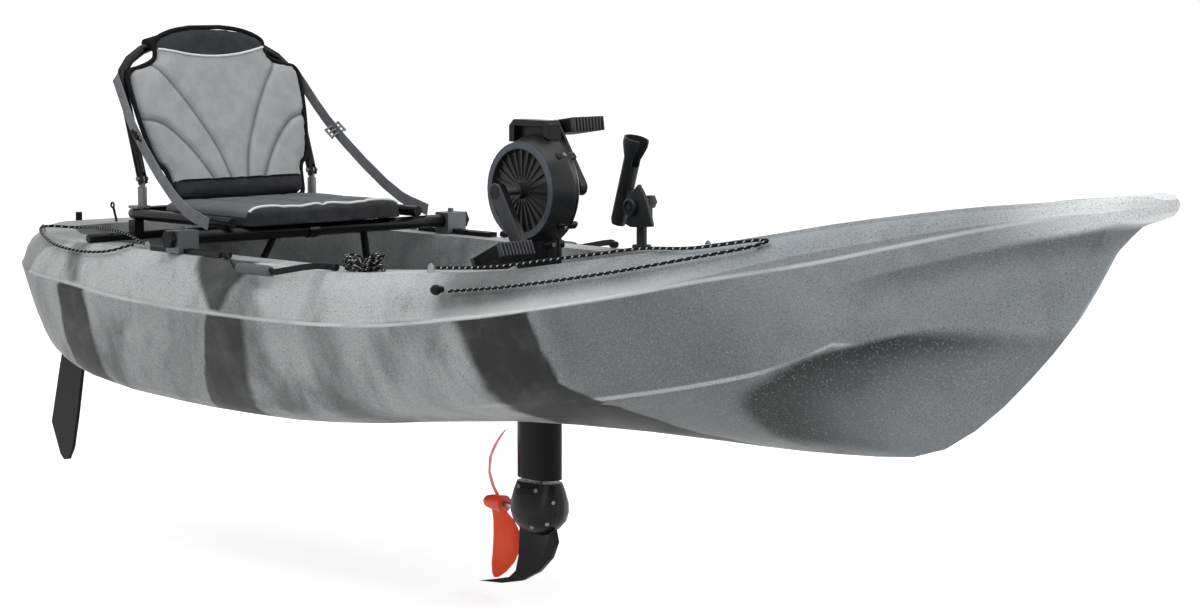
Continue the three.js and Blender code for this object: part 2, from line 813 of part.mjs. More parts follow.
// SEAT BASE, built about the front bar's middle
function seatClamp(side) {
  const low = gunwaleZ + gap * 4;
  const high = barZ + clampTop;
  const body = at(block(clampLength, clampWidth, high - low), 0, 0, (high + low) / 2);
  const railSpace = block(clampLength + overrun, railWidth + gap * 2, (railHeight + gap * 2) * 2);
  const channel = at(railSpace, 0, 0, gunwaleZ);
  const bore = at(cylinder(barRadius + gap, clampWidth, 'y', barSides), 0, -side * knobStudDepth * 1.5, barZ);
  const studBore = cylinder(knobStud + gap, knobStudDepth * 2 + gap * 6, 'y');
  const studHole = at(studBore, 0, (side * clampWidth) / 2, barZ);
  const nut = at(cylinder(nutRadius, nutHeight + bite, 'z', 6), 0, 0, high + nutHeight / 2 - bite);
  return join(cut(body, channel, bore, studHole), nut);
}

function clampKnob() {
  const head = knob(knobRadius, knobThickness, knobLobes);
  const stud = at(cylinder(knobStud, knobStudDepth + bite, 'z', smallSides), 0, 0, -knobStudDepth / 2);
  return join(head, stud);
}

function crossBar() {
  const half = railY - knobStudDepth * 1.5 + clampWidth / 2 - gap * 2;
  const bar = cylinder(barRadius, half * 2, 'y', barSides);
  const collar = at(cylinder(collarRadius, collarWidth, 'y', barSides), 0, -barRadius * 2, 0);
  const legs = mirrored((side) => pipe([
    vec(-legSplay / 4, side * legY, -barRadius / 2),
    vec(-legSplay, side * (legY + legSplay), -legReach),
  ], legRadius));
  return join(bar, collar, ...legs);
}

function rearBar() {
  const half = railY + railWidth / 2;
  const bar = cylinder(rearBarRadius, half * 2, 'y');
  const saddles = mirrored((side) => {
    const high = barZ + barRadius - rearBarZ;
    return at(block(sideTubeRadius * 2, sideTubeRadius * 2, high), 0, side * sideTubeY, high / 2);
  });
  return join(bar, ...saddles);
}

function baseFrame() {
  const z = barZ + barRadius + sideTubeRadius + gap;
  const corners = [
    vec(sideTubeFrontX, -sideTubeY, z), vec(sideTubeRearX, -sideTubeY, z),
    vec(sideTubeRearX, sideTubeY, z), vec(sideTubeFrontX, sideTubeY, z),
  ];
  return pipe(rounded(corners, sideTubeBend), sideTubeRadius);
}

// A cushion with a crown, drawn-in sides and lobes along its front
function seatCushion() {
  const [across, along] = [18, 9];
  const length = cushionFrontX - cushionRearX;
  const grid = (top) => {
    const rows = [];
    for (let i = 0; i <= along; i += 1) {
      const row = [];
      for (let j = 0; j <= across; j += 1) {
        const [u, v] = [i / along, j / across];
        const y = cushionHalf * (2 * v - 1);
        const lobe = Math.abs(Math.sin(Math.PI * cushionLobes * v)) ** 0.5;
        const x = cushionRearX + length * u - (1 - lobe) * cushionChannel * 2 * u ** 3;
        const bulge = (4 * u * (1 - u)) ** 0.4 * (4 * v * (1 - v)) ** 0.4;
        const drop = (1 - lobe) * cushionChannel * (4 * v * (1 - v)) ** 0.5;
        const high = cushionEdge + cushionCrown * bulge - drop;
        row.push(vec(x, y, cushionBottomZ + (top ? high : cushionEdge * 0.25 * (1 - bulge))));
      }
      rows.push(row);
    }
    return rows;
  };
  return slab(grid(true), grid(false), cushionEdge * 0.18);
}

// A closed pad between an upper and a lower grid, whose rim is drawn in half way up
function slab(upper, lower, draw) {
  const [rows, columns] = [upper.length, upper[0].length];
  const edge = [];
  for (let j = 0; j < columns - 1; j += 1) edge.push([0, j]);
  for (let i = 0; i < rows - 1; i += 1) edge.push([i, columns - 1]);
  for (let j = columns - 1; j > 0; j -= 1) edge.push([rows - 1, j]);
  for (let i = rows - 1; i > 0; i -= 1) edge.push([i, 0]);
  const points = [...upper.flat(), ...lower.flat()];
  const size = rows * columns;
  const index = [];
  for (let i = 0; i < rows - 1; i += 1) {
    for (let j = 0; j < columns - 1; j += 1) {
      const [a, d] = [i * columns + j, (i + 1) * columns + j];
      const [b, c] = [a + 1, d + 1];
      index.push(a, b, c, a, c, d);
      index.push(size + a, size + c, size + b, size + a, size + d, size + c);
    }
  }
  const centre = points.reduce((sum, p) => sum.add(p), vec(0, 0, 0)).divideScalar(points.length);
  const waist = edge.map(([i, j]) => {
    const middle = upper[i][j].clone().add(lower[i][j]).multiplyScalar(0.5);
    const inward = centre.clone().sub(middle).setLength(draw);
    return middle.add(inward);
  });
  points.push(...waist);
  edge.forEach(([i, j], k) => {
    const [ni, nj] = edge[(k + 1) % edge.length];
    const [a, b] = [i * columns + j, ni * columns + nj];
    const [m, n] = [size * 2 + k, size * 2 + ((k + 1) % edge.length)];
    index.push(b, a, m, b, m, n);
    index.push(n, m, size + a, n, size + a, size + b);
  });
  return outward(points.flatMap((p) => [p.x, p.y, p.z]), index);
}

// SEAT BACK, built upright about its pivot line: Y across, Z up the back, X to the front
function hingeBracket(side) {
  const low = barZ + barRadius + sideTubeRadius * 2 + gap * 2 - backPivotZ;
  const tongueTop = hingePost * 0.8;
  const postTop = -backTubeRadius * 1.6;
  const foot = block(hingeFoot, hingeFoot, hingePlate);
  at(foot, 0, side * (backHalf + hingeFoot / 4), low + hingePlate / 2);
  const post = at(cylinder(hingePost, postTop - low, 'z'), 0, side * backHalf, (postTop + low) / 2);
  const tongue = block(tongueTop * 2, hingePlate, -postTop + bite);
  at(tongue, 0, side * backHalf, (postTop - bite) / 2);
  const eye = at(cylinder(tongueTop, hingePlate, 'y'), 0, side * backHalf, 0);
  const pin = at(cylinder(pinRadius, backTubeRadius * 2 + hingePlate, 'y', smallSides), 0, side * backHalf, 0);
  return join(foot, post, tongue, eye, pin);
}

function backFrame() {
  const shoulder = backTop - backArch;
  const points = [vec(0, -backHalf, -backTubeRadius)];
  const steps = 12;
  for (let i = 0; i <= steps; i += 1) {
    const angle = (Math.PI * i) / steps;
    points.push(vec(0, -backHalf * Math.cos(angle), shoulder + backArch * Math.sin(angle)));
  }
  points.push(vec(0, backHalf, -backTubeRadius));
  const tools = mirrored((side) => {
    const pinHole = cylinder(pinRadius + gap, backTubeRadius * 4, 'y', smallSides);
    const slot = block(backTubeRadius * 4, hingePlate + gap * 2, backTubeRadius * 2);
    return join(at(pinHole, 0, side * backHalf, 0), at(slot, 0, side * backHalf, 0));
  });
  return cut(pipe(points, backTubeRadius, roundSides - 4), ...tools);
}

// Half the pad's width at a share of its height; it narrows below and is arched above
const padWidthShares = [
  [0, 0.6], [0.17, 0.82], [0.4, 0.93], [0.62, 0.97], [0.74, 0.97], [0.81, 0.86],
  [0.87, 0.66], [0.94, 0.5], [1, 0.26],
];

function padHalf(share) {
  const shares = padWidthShares;
  const i = Math.min(shares.length - 2, Math.max(0, shares.findIndex(([s]) => s >= share) - 1));
  const t = (share - shares[i][0]) / (shares[i + 1][0] - shares[i][0]);
  return backHalf * THREE.MathUtils.lerp(shares[i][1], shares[i + 1][1], t);
}

function backPad() {
  const [up, across] = [16, 12];
  const height = backTop + backTubeRadius + padBelow;
  const grid = (front) => {
    const rows = [];
    for (let i = 0; i <= up; i += 1) {
      const row = [];
      for (let j = 0; j <= across; j += 1) {
        const [u, v] = [i / up, j / across];
        const y = padHalf(u) * (2 * v - 1);
        const bulge = (4 * v * (1 - v)) ** 0.4 * (4 * u * (1 - u)) ** 0.35;
        const rib = Math.abs(Math.sin(Math.PI * padRibs * v)) ** 0.4;
        const deep = padThickness - padCrown + padCrown * bulge - (1 - rib) * padChannel * bulge;
        row.push(vec(padBack + (front ? deep : 0), y, height * u - padBelow));
      }
      rows.push(row);
    }
    return rows;
  };
  return slab(grid(true), grid(false), padThickness * 0.12);
}

// The strap's route from the top of the back down to the front of the base, in seat places
function strapRoute(side) {
  const lean = degrees(backTilt);
  const along = backTop * strapTopShare;
  const y = backHalf + backTubeRadius + strapThickness + gap * 2;
  const top = vec(backPivotX - along * Math.sin(lean), side * y, backPivotZ + along * Math.cos(lean));
  const endZ = barZ + barRadius + sideTubeRadius;
  const end = vec(frontBarX, side * strapEndY, endZ);
  const upper = top.clone().lerp(end, 0.4).add(vec(-strapSag, 0, 0));
  const lower = top.clone().lerp(end, 0.9).add(vec(-strapSag, 0, 0));
  return [top, upper, lower, end];
}

function strap(side) {
  return band(smooth(strapRoute(side), bendSteps), strapWidth, strapThickness, vec(1, 0, 1));
}

function buckle(side) {
  const curve = new THREE.CatmullRomCurve3(strapRoute(side), false, 'centripetal');
  const place = curve.getPointAt(buckleShare);
  const along = curve.getTangentAt(buckleShare);
  const plate = block(buckleLength, buckleWidth, buckleThickness);
  const passage = block(buckleLength + overrun, strapWidth + gap * 10, strapThickness + gap * 8);
  const frame = cut(plate, passage);
  const across = vec(1, 0, 1);
  const wide = across.addScaledVector(along, -across.dot(along)).normalize();
  const up = along.clone().cross(wide);
  const turn = new THREE.Matrix4().makeBasis(along, wide, up);
  frame.applyMatrix4(turn);
  return at(frame, place.x, place.y, place.z);
}

// GEARS
// A straight bevel gear whose cone has its tip at the origin and opens along +Z. Radii are
// those of the pitch cone at its inner and outer end.
function bevelGear({ teeth, mate, inner, outer, bore, backing }) {
  const cone = Math.atan(teeth / mate);
  const [sin, cos] = [Math.sin(cone), Math.cos(cone)];
  const virtual = teeth / cos / 2;
  const pressure = degrees(pressureAngle);
  const base = virtual * Math.cos(pressure);
  const involute = (radius) => {
    const a = Math.acos(Math.min(1, base / radius));
    return Math.tan(a) - a;
  };
  // Half the tooth's angle at a height above the pitch cone, in modules
  const halfAngle = (height) => {
    const flat = (Math.PI * toothShare) / (virtual * 2);
    const radius = Math.max(virtual + height, base);
    return ((flat + involute(virtual) - involute(radius)) * virtual * 2) / teeth;
  };
  const points = [];
  for (let i = 0; i < teeth; i += 1) {
    const middle = (2 * Math.PI * i) / teeth;
    const [root, tip] = [halfAngle(-dedendumShare), halfAngle(addendumShare)];
    points.push([middle - root, -dedendumShare], [middle - tip, addendumShare]);
    points.push([middle + tip, addendumShare], [middle + root, -dedendumShare]);
  }
  const ring = (radius) => points.map(([angle, height]) => {
    const module = (2 * radius) / teeth;
    const reach = radius + height * module * cos;
    const z = radius / Math.tan(cone) - height * module * sin;
    return vec(reach * Math.cos(angle), reach * Math.sin(angle), z);
  });
  const plain = (radius, z) => points.map(
    ([angle]) => vec(radius * Math.cos(angle), radius * Math.sin(angle), z),
  );
  const root = (2 * outer * dedendumShare) / teeth;
  const back = outer / Math.tan(cone) + root * sin + backing;
  const blank = loft([ring(inner), ring(outer), plain(outer - root * cos - gap, back)]);
  return bore ? cut(blank, cylinder(bore, back * 3, 'z', roundSides)) : blank;
}

function crownGear() {
  return bevelGear({
    teeth: crownTeeth, mate: pinionTeeth, inner: crownInner, outer: crownOuter,
    bore: axleRadius + gap, backing: crownPlate,
  });
}

// The upright shaft with its upper pinion, about the crank axle's height
function driveShaft() {
  const share = pinionTeeth / crownTeeth;
  const pinion = bevelGear({
    teeth: pinionTeeth, mate: crownTeeth, inner: crownInner * share, outer: crownOuter * share,
    backing: pinionBacking,
  });
  pinion.rotateZ(Math.PI / 2).rotateX(Math.PI);
  const high = -crownOuter - pinionBacking / 2;
  const low = propZ + lowerGearInner * 0.75 - crankZ;
  return join(pinion, at(cylinder(shaftRadius, high - low, 'z', smallSides), 0, 0, (high + low) / 2));
}

function lowerGear() {
  return bevelGear({
    teeth: lowerGearTeeth, mate: propPinionTeeth, inner: lowerGearInner, outer: lowerGearOuter,
    bore: shaftRadius + gap, backing: lowerGearBacking,
  });
}

// The propeller's shaft with its pinion, about the gearbox's middle
function propShaft() {
  const share = propPinionTeeth / lowerGearTeeth;
  const pinion = bevelGear({
    teeth: propPinionTeeth, mate: lowerGearTeeth, inner: lowerGearInner * share, outer: lowerGearOuter * share,
    backing: pinionBacking,
  });
  pinion.rotateY(Math.PI / 2);
  const front = gearboxHalfX * 0.58;
  const rear = propX - propHubLength / 2 - gap * 2;
  return join(pinion, at(cylinder(shaftRadius, front - rear, 'x', smallSides), (front + rear) / 2, 0, 0));
}

// DRIVE HOUSING, about the crank axle. Profiles are [radius, depth from the split].
function drumProfile(outerSide) {
  if (outerSide < 0) {
    return [
      [0, 0], [drumRadius, 0], [drumRadius, ringY * 0.2], [ringRadius + ringLip, ringY * 0.8],
      [ringRadius, ringY], [ringInner, ringY], [ringInner - dishDraft, ringY - dishDepth],
      [hubRadius * 2, ringY - dishDepth * 0.7],
      [hubRadius, ringY - dishDepth * 0.5], [hubRadius, ringY + dishDepth * 0.8], [0, ringY + dishDepth * 0.8],
    ];
  }
  return [
    [0, 0], [drumRadius, 0], [drumRadius, drumFarDepth * 0.14], [drumRadius * 0.9, drumFarDepth * 0.42],
    [drumRadius * 0.72, drumFarDepth * 0.78], [drumRadius * 0.4, drumFarDepth],
    [hubRadius, drumFarDepth * 1.05], [hubRadius, drumFarDepth * 1.3], [0, drumFarDepth * 1.3],
  ];
}

function drumCavity(outerSide) {
  const wide = drumRadius - drumWall;
  if (outerSide < 0) {
    const deep = ringY - dishDepth - drumWall;
    return [[0, -overrun], [wide, -overrun], [wide, ringY * 0.17], [ringRadius - drumWall, deep * 0.8],
      [ringInner - drumWall, deep], [0, deep]];
  }
  const deep = drumFarDepth - drumWall;
  return [[0, -overrun], [wide, -overrun], [wide, deep * 0.08], [wide * 0.88, deep * 0.36],
    [wide * 0.7, deep * 0.74], [wide * 0.38, deep], [0, deep]];
}

function turned(profile, sides) {
  return new THREE.LatheGeometry(profile.map(([r, y]) => new THREE.Vector2(r, y)), sides);
}

// The leg's outline at a height, grown or shrunk all round
function legRing(grow, z) {
  return oval(legHalfX + grow, legHalfY + grow, 3, legRings, (a, b) => vec(a, b, z));
}

// One half of the housing: a dished drum with a neck down to the leg
function housing(side) {
  const orient = (shape) => (side < 0 ? shape.rotateX(Math.PI) : shape);
  const drum = orient(turned(drumProfile(side), drumSides));
  const cavity = orient(turned(drumCavity(side), drumSides));
  const neckHigh = crankZ - drumRadius * 0.7;
  const neck = loft([legRing(0, neckLow + gap - crankZ), legRing(0, neckHigh - crankZ)]);
  const throatEnds = [neckLow - overrun, neckHigh + legWall];
  const throat = loft(throatEnds.map((z) => legRing(-legWall, z - crankZ)));
  const cover = block(drumRadius * 3, drumRadius, drumRadius * 4);
  const half = at(cover, 0, side * (drumRadius / 2 + gap / 2), 0);
  const bore = at(cylinder(axleRadius + gap, drumRadius * 2, 'y'), 0, 0, 0);
  let shell = cut(join(drum, keep(neck, half)), cavity, throat, bore);
  shell = keep(shell, half);
  return side < 0 ? join(shell, ...dishRibSolids()) : shell;
}

// Thin ribs that run from the hub to the ring in the open face of the housing
function dishRibSolids() {
  const ribs = [];
  const [from, to] = [hubRadius - bite, ringInner + bite];
  const high = dishDepth * 0.62;
  for (let i = 0; i < dishRibs; i += 1) {
    const rib = block(to - from, high, dishRibWidth);
    at(rib, (to + from) / 2, -(ringY - dishDepth + high / 2 - dishDepth * 0.12), 0);
    rib.rotateY((2 * Math.PI * i) / dishRibs);
    ribs.push(rib);
  }
  return ribs;
}

function driveHandle() {
  const half = handleLength / 2;
  const foot = handleBar * 1.2;
  const outline = [
    [-half, 0], [-half + foot, 0], [-half + foot, handleRise - handleBar],
    [half - foot, handleRise - handleBar], [half - foot, 0], [half, 0],
    [half, handleRise - handleBar / 2], [half - handleBar / 2, handleRise],
    [-half + handleBar, handleRise], [-half, handleRise - handleBar],
  ];
  const arch = at(upright(outline, handleWidth), -handleRear, 0, drumRadius * 0.84);
  const drum = cylinder(drumRadius + gap, handleWidth * 2, 'y', drumSides);
  return cut(arch, drum);
}

// CRANKS AND PEDALS
function crankAxle() {
  return cylinder(axleRadius, (crankArmY - crankArmThickness / 2 - gap) * 2, 'y');
}

// An arm along +X from the axle's boss to the spindle's eye, with a hollow along its side
function crankArm(side) {
  const outline = [];
  const steps = 8;
  for (let i = 0; i <= steps; i += 1) {
    const a = Math.PI / 2 + (Math.PI * i) / steps;
    outline.push([crankBossRadius * Math.cos(a), crankBossRadius * Math.sin(a)]);
  }
  for (let i = 0; i <= steps; i += 1) {
    const a = -Math.PI / 2 + (Math.PI * i) / steps;
    outline.push([crankLength + crankEyeRadius * Math.cos(a), crankEyeRadius * Math.sin(a)]);
  }
  const arm = upright(outline, crankArmThickness);
  const hollow = at(block(crankLength * 0.62, crankArmThickness, crankEyeRadius), crankLength * 0.52,
    side * crankArmThickness * 0.8, 0);
  const boss = cylinder(crankBossRadius * 0.8, crankArmThickness * 1.5, 'y');
  at(boss, 0, side * crankArmThickness * 0.25, 0);
  const reach = pedalStandoff + pedalWidth + crankArmThickness / 2;
  const spindle = at(cylinder(spindleRadius, reach, 'y'), crankLength, (side * reach) / 2, 0);
  return join(cut(arm, hollow), boss, spindle);
}

function pedal() {
  const [half, wide, edge] = [pedalLength / 2, pedalWidth / 2, pedalRim * 1.6];
  const body = at(raised(clipped(half, wide, edge), pedalThickness), 0, 0, -pedalThickness / 2);
  const core = spindleRadius * 2;
  const tools = [cylinder(spindleRadius + gap, pedalWidth + overrun, 'y')];
  const pitch = (pedalWidth - pedalRim * 2 + pedalBar) / pedalSlots;
  for (const end of [-1, 1]) {
    for (let i = 0; i < pedalSlots; i += 1) {
      const y = -wide + pedalRim - pedalBar / 2 + pitch * (i + 0.5);
      const length = half - core - pedalRim;
      const slot = block(length, pitch - pedalBar, pedalThickness + overrun);
      tools.push(at(slot, end * (core + length / 2), y, 0));
    }
  }
  return cut(body, ...tools);
}

// LEG, GEARBOX, FIN AND PROPELLER
function legTube() {
  const [low, high] = [legLowZ, neckLow];
  return loft([legRing(0, low), legRing(0, high), legRing(-legWall, high), legRing(-legWall, low)], true);
}

function gearboxBody() {
  const levels = [
    [1.3, 0.86, 0.66], [0.9, 0.94, 0.82], [0.4, 1, 0.98], [0, 1, 1], [-0.4, 0.9, 0.92], [-0.75, 0.66, 0.7],
    [-1, 0.3, 0.36],
  ];
  const rings = levels.map(([z, x, y]) => oval(gearboxHalfX * x, gearboxHalfY * y, 2.4, legRings,
    (a, b) => vec(a, b, propZ + z * gearboxHalfZ)));
  return loft(rings);
}

function gearboxHalf(side) {
  const wall = gearboxWall;
  const levels = [[-0.5, 0.3], [-0.38, 0.62], [0, 0.7], [0.4, 0.7], [0.62, 0.42]];
  const rings = levels.map(([z, share]) => {
    const [wide, deep] = [gearboxHalfX * share, (gearboxHalfY - wall) * Math.min(1, share * 1.25)];
    return oval(wide, deep, 2.2, cradleSides, (a, b) => vec(a, b, propZ + z * gearboxHalfZ));
  });
  const cavity = loft(rings);
  const shaftHole = at(cylinder(shaftRadius + gap, overrun * 6, 'z'), 0, 0, gearboxTopZ);
  const propHole = at(cylinder(shaftRadius + gap, gearboxHalfX * 2, 'x'), -gearboxHalfX, 0, propZ);
  const cover = block(gearboxHalfX * 3, gearboxHalfY * 2, gearboxHalfZ * 5);
  const half = at(cover, 0, side * (gearboxHalfY + gap / 2), propZ);
  return keep(cut(gearboxBody(), cavity, shaftHole, propHole), half);
}

// Fin outline: [share of the sweep aft of its front edge, share of the drop]
const finShares = [
  [0.06, 0.02], [0, 0.02], [-0.03, 0.2], [0.04, 0.44], [0.2, 0.68], [0.42, 0.86], [0.7, 0.96], [1.02, 1],
  [0.78, 0.915], [0.6, 0.845], [0.51, 0.73], [0.47, 0.5], [0.45, 0.02],
];

function driveFin() {
  const top = propZ - gearboxHalfZ;
  const start = finChord / 2;
  const outline = finShares.map(([x, z]) => [start - x * (finSweep + start), top + finTopLift() - z * finDrop]);
  const fin = upright(outline, finThickness);
  return cut(fin, grown(gearboxBody(), gap));
}

function finTopLift() {
  return gearboxHalfZ * 0.35;
}

// A body a little larger than the gearbox, so that the fin stops just short of it
function grown(shape, by) {
  const [sx, sy, sz] = [gearboxHalfX, gearboxHalfY, gearboxHalfZ].map((half) => (half + by) / half);
  at(shape, 0, 0, -propZ);
  shape.scale(sx, sy, sz);
  return at(shape, 0, 0, propZ);
}

// Propeller blade sections at shares of the radius: chord, pitch in degrees, sideways skew,
// forward rake and thickness, the lengths as shares of the radius
const bladeShares = [
  [0.08, 0.2, 66, 0, 0, 0.06], [0.25, 0.3, 56, -0.1, 0, 0.054], [0.45, 0.38, 48, -0.16, 0, 0.044],
  [0.65, 0.38, 41, -0.14, 0.01, 0.034], [0.82, 0.32, 36, -0.06, 0.03, 0.026],
  [0.94, 0.2, 32, 0.03, 0.05, 0.02], [1, 0.07, 30, 0.09, 0.06, 0.014],
];

function blade() {
  const rings = bladeShares.map(([share, chord, pitch, skew, rake, thick]) => {
    const turn = degrees(pitch);
    const [cx, cy] = [-Math.sin(turn), Math.cos(turn)];
    const section = [[-0.5, 0], [-0.3, 0.42], [0.05, 0.5], [0.5, 0], [0.05, -0.35], [-0.3, -0.3]];
    return section.map(([a, b]) => {
      const [along, normal] = [a * chord * propRadius, b * thick * propRadius];
      const x = rake * propRadius + along * cx + normal * cy;
      const y = skew * propRadius + along * cy - normal * cx;
      return vec(x, y, share * propRadius);
    });
  });
  return loft(rings);
}

function propeller() {
  const hub = cylinder(propHubRadius, propHubLength, 'x', roundSides, propHubRadius * 1.2);
  const upper = blade();
  const lower = blade().rotateX(Math.PI);
  const bore = cylinder(shaftRadius + gap, propHubLength + overrun, 'x', smallSides);
  return cut(join(hub, upper, lower), bore);
}

function propNut() {
  const profile = [
    [0, 0], [propHubRadius * 0.95, 0], [propHubRadius * 0.85, propNutLength * 0.5],
    [propHubRadius * 0.4, propNutLength], [0, propNutLength],
  ];
  return turned(profile, bandSides).rotateZ(Math.PI / 2);
}

function driveBase() {
  const [a, b] = [baseLength / 2, baseWidth / 2];
  const c = baseWidth * 0.22;
  const outline = clipped(a, b, c);
  const plate = at(raised(outline, baseThickness), baseForward - a, 0, footFloorZ + gap);
  const high = footFloorZ + gap + baseThickness;
  const collar = loft([legRing(baseCollarWall, high - bite), legRing(baseCollarWall * 0.7, high + baseCollar)]);
  const hole = loft([legRing(gap, footFloorZ - overrun), legRing(gap, high + baseCollar + overrun)]);
  const screwHole = at(cylinder(screwRadius + gap, overrun * 4, 'z'), screwX, 0, footFloorZ);
  return cut(join(plate, collar), hole, screwHole);
}

function baseScrew() {
  const head = knob(screwHead, screwHeadHeight, knobLobes);
  const length = baseThickness + screwDepth / 2;
  const stud = at(cylinder(screwRadius, length + bite, 'z', smallSides), 0, 0, -(length - bite) / 2);
  return join(head, stud);
}

// RUDDER, about the stock's line behind the stern; heights are above the hull bottom
function rudderBracket() {
  const high = bracketHighZ - bracketLowZ;
  const middle = (bracketHighZ + bracketLowZ) / 2;
  const reach = rudderStandoff - gap;
  const lugs = [bracketLowZ + high * 0.16, bracketHighZ - high * 0.16].map((z) => {
    const lug = at(cylinder(bracketWidth / 2, high * 0.32, 'z'), 0, 0, z);
    return join(lug, at(block(reach, bracketWidth * 0.7, high * 0.32), reach / 2, 0, z));
  });
  const plate = at(block(bracketPlate, bracketWidth, high), reach - bracketPlate / 2, 0, middle);
  return cut(join(plate, ...lugs), at(cylinder(stockRadius + gap, high * 2, 'z'), 0, 0, middle));
}

function rudderFork() {
  const stock = at(cylinder(stockRadius, stockTopZ - forkWebZ, 'z'), 0, 0, (stockTopZ + forkWebZ) / 2);
  const inner = bladeThickness / 2 + gap;
  const outer = inner + forkCheek;
  const top = forkWebZ + forkWebHeight;
  const body = at(block(forkHalfX * 2, outer * 2, top - forkLowZ), 0, 0, (top + forkLowZ) / 2);
  const space = at(block(forkHalfX * 3, inner * 2, (forkWebZ - forkLowZ) * 2), 0, 0, forkLowZ);
  const collarTop = bracketLowZ - gap;
  const collar = at(cylinder(stockRadius * 2, collarTop - top + bite, 'z'), 0, 0, (collarTop + top - bite) / 2);
  const pinHole = at(cylinder(rudderPinRadius + gap, outer * 4, 'y', smallSides), 0, 0, rudderPinZ);
  return cut(join(collar, stock, body), space, pinHole);
}

// Blade outline about its pin: [share of the chord towards the bow, share of the drop]
const rudderShares = [
  [0.15, -0.03], [0.145, 0.1], [0.077, 0.284], [-0.154, 0.68], [-0.31, 0.9], [-0.46, 0.99], [-0.6, 1],
  [-0.72, 0.96], [-0.99, 0.74], [-0.68, 0.33], [-0.59, 0.22], [-0.4, 0.06], [-0.22, -0.05], [0, -0.065],
];

function rudderBlade() {
  const outline = rudderShares.map(([x, z]) => [x * bladeChord, -z * bladeDrop]);
  const pinHole = cylinder(rudderPinRadius + gap, bladeThickness * 3, 'y');
  return cut(upright(outline, bladeThickness), pinHole);
}

function rudderPin() {
  const length = (bladeThickness / 2 + gap + forkCheek) * 2;
  const head = cylinder(rudderPinRadius * 1.7, rudderPinHead, 'y', smallSides);
  at(head, 0, -(length + rudderPinHead) / 2 - gap, 0);
  return join(cylinder(rudderPinRadius, length + gap * 2, 'y', smallSides), head);
}

function tiller() {
  const [a, b] = [tillerHalf, tillerWidth / 2];
  const outline = [
    [-b, -b * 0.8], [-b * 0.5, -a], [b * 0.5, -a], [b, -b * 0.8],
    [b, b * 0.8], [b * 0.5, a], [-b * 0.5, a], [-b, b * 0.8],
  ];
  const holes = mirrored((side) => {
    const hole = cylinder(bungeeRadius, overrun, 'z', smallSides);
    return at(hole, 0, side * (tillerHalf - tillerWidth / 2), 0);
  });
  const bore = cylinder(stockRadius + gap, overrun * 2, 'z');
  return cut(raised(outline, tillerThickness), ...holes, bore);
}

// ROD HOLDER, about its post; heights are above the gunwale
function holderBase() {
  const flange = at(cylinder(holderFlange, holderFlangeHeight, 'z'), 0, 0, holderFlangeHeight / 2);
  const post = at(cylinder(holderPostRadius, holderPostTop, 'z'), 0, 0, holderPostTop / 2);
  return join(flange, post);
}

function holderKnuckle() {
  const bodyLow = holderPostTop + gap;
  const drum = at(cylinder(knuckleRadius, knuckleRadius * 1.4, 'z'), 0, 0, bodyLow + knuckleRadius * 0.7);
  const inner = knuckleRadius * 0.5 + gap;
  const ears = mirrored((side) => {
    const ear = block(knuckleRadius * 1.5, knuckleRadius * 0.42, knuckleHeight);
    return at(ear, 0, side * (inner + knuckleRadius * 0.21), bodyLow + knuckleHeight / 2);
  });
  const pinZ = bodyLow + knuckleHeight - pinRadius * 2.6;
  const pin = at(cylinder(pinRadius, inner * 2 + knuckleRadius * 0.6, 'y'), 0, 0, pinZ);
  return join(drum, ...ears, pin);
}

// The cradle: an open tube with a flared lip and a closed foot, about the tilt pin
function rodCradle() {
  const radius = cradleRadius;
  const low = -cradleLength * cradlePivotShare;
  const high = cradleLength * (1 - cradlePivotShare);
  const foot = radius * cradleFootShare;
  const offset = radius + knuckleRadius * 1.4;
  const outer = [
    [0, low], [foot * 0.8, low], [foot, low + radius * 0.4], [foot, high - radius * 1.6],
    [radius, high - radius * 0.5], [radius, high], [0, high],
  ];
  const inner = [
    [0, low + cradleWall * 2], [foot - cradleWall, low + cradleWall * 2],
    [foot - cradleWall, high - radius * 1.55], [radius - cradleWall, high - radius * 0.5],
    [radius - cradleWall, high + overrun], [0, high + overrun],
  ];
  const stand = (profile) => at(turned(profile, cradleSides).rotateX(Math.PI / 2), -offset, 0, 0);
  const reach = offset - foot + cradleWall;
  const lug = block(reach + knuckleRadius * 0.6, knuckleRadius, knuckleRadius * 1.3);
  at(lug, knuckleRadius * 0.3 - reach / 2, 0, 0);
  const slot = at(block(radius * 1.2, radius * 0.9, cradleLength), -offset + radius, 0, high * 1.3);
  const bore = cylinder(pinRadius + gap, radius * 2, 'y');
  return cut(join(stand(outer), lug), stand(inner), slot, bore);
}

function holderKnob() {
  return knob(holderKnobRadius, knobThickness, knobLobes);
}

// CARRY HANDLES, about the line through their ends
function carryStrap(side) {
  const [x0, x1] = [carryRearX, carryFrontX];
  const eyes = [x0, x1].map((x) => at(cylinder(carryEye, carryEyeLength, 'x', smallSides), x, 0, 0));
  const out = side * carryBulge;
  const reach = gripLength / 2 + carryEyeLength;
  const limb = (end, x) => smooth([
    vec(x, 0, 0), vec(x - end * carryEyeLength * 2, out * 0.62, carryEye * 0.2),
    vec(gripX + end * reach, out, -carryDrop),
  ], bendSteps * 0.6);
  const points = [...limb(-1, x0), ...limb(1, x1).reverse()];
  const across = vec(0, side * carryDrop, carryBulge).normalize();
  const strip = band(points, carryStrapWidth * 0.7, carryStrapThickness, across);
  return join(strip, ...eyes);
}

function carryGrip() {
  const [half, body] = [gripLength / 2, gripLength * 0.4];
  const profile = [
    [0, -half], [gripRadius * 0.85, -half], [gripRadius, -body],
    [gripRadius, body], [gripRadius * 0.85, half], [0, half],
  ];
  return turned(profile, bandSides).rotateZ(-Math.PI / 2);
}

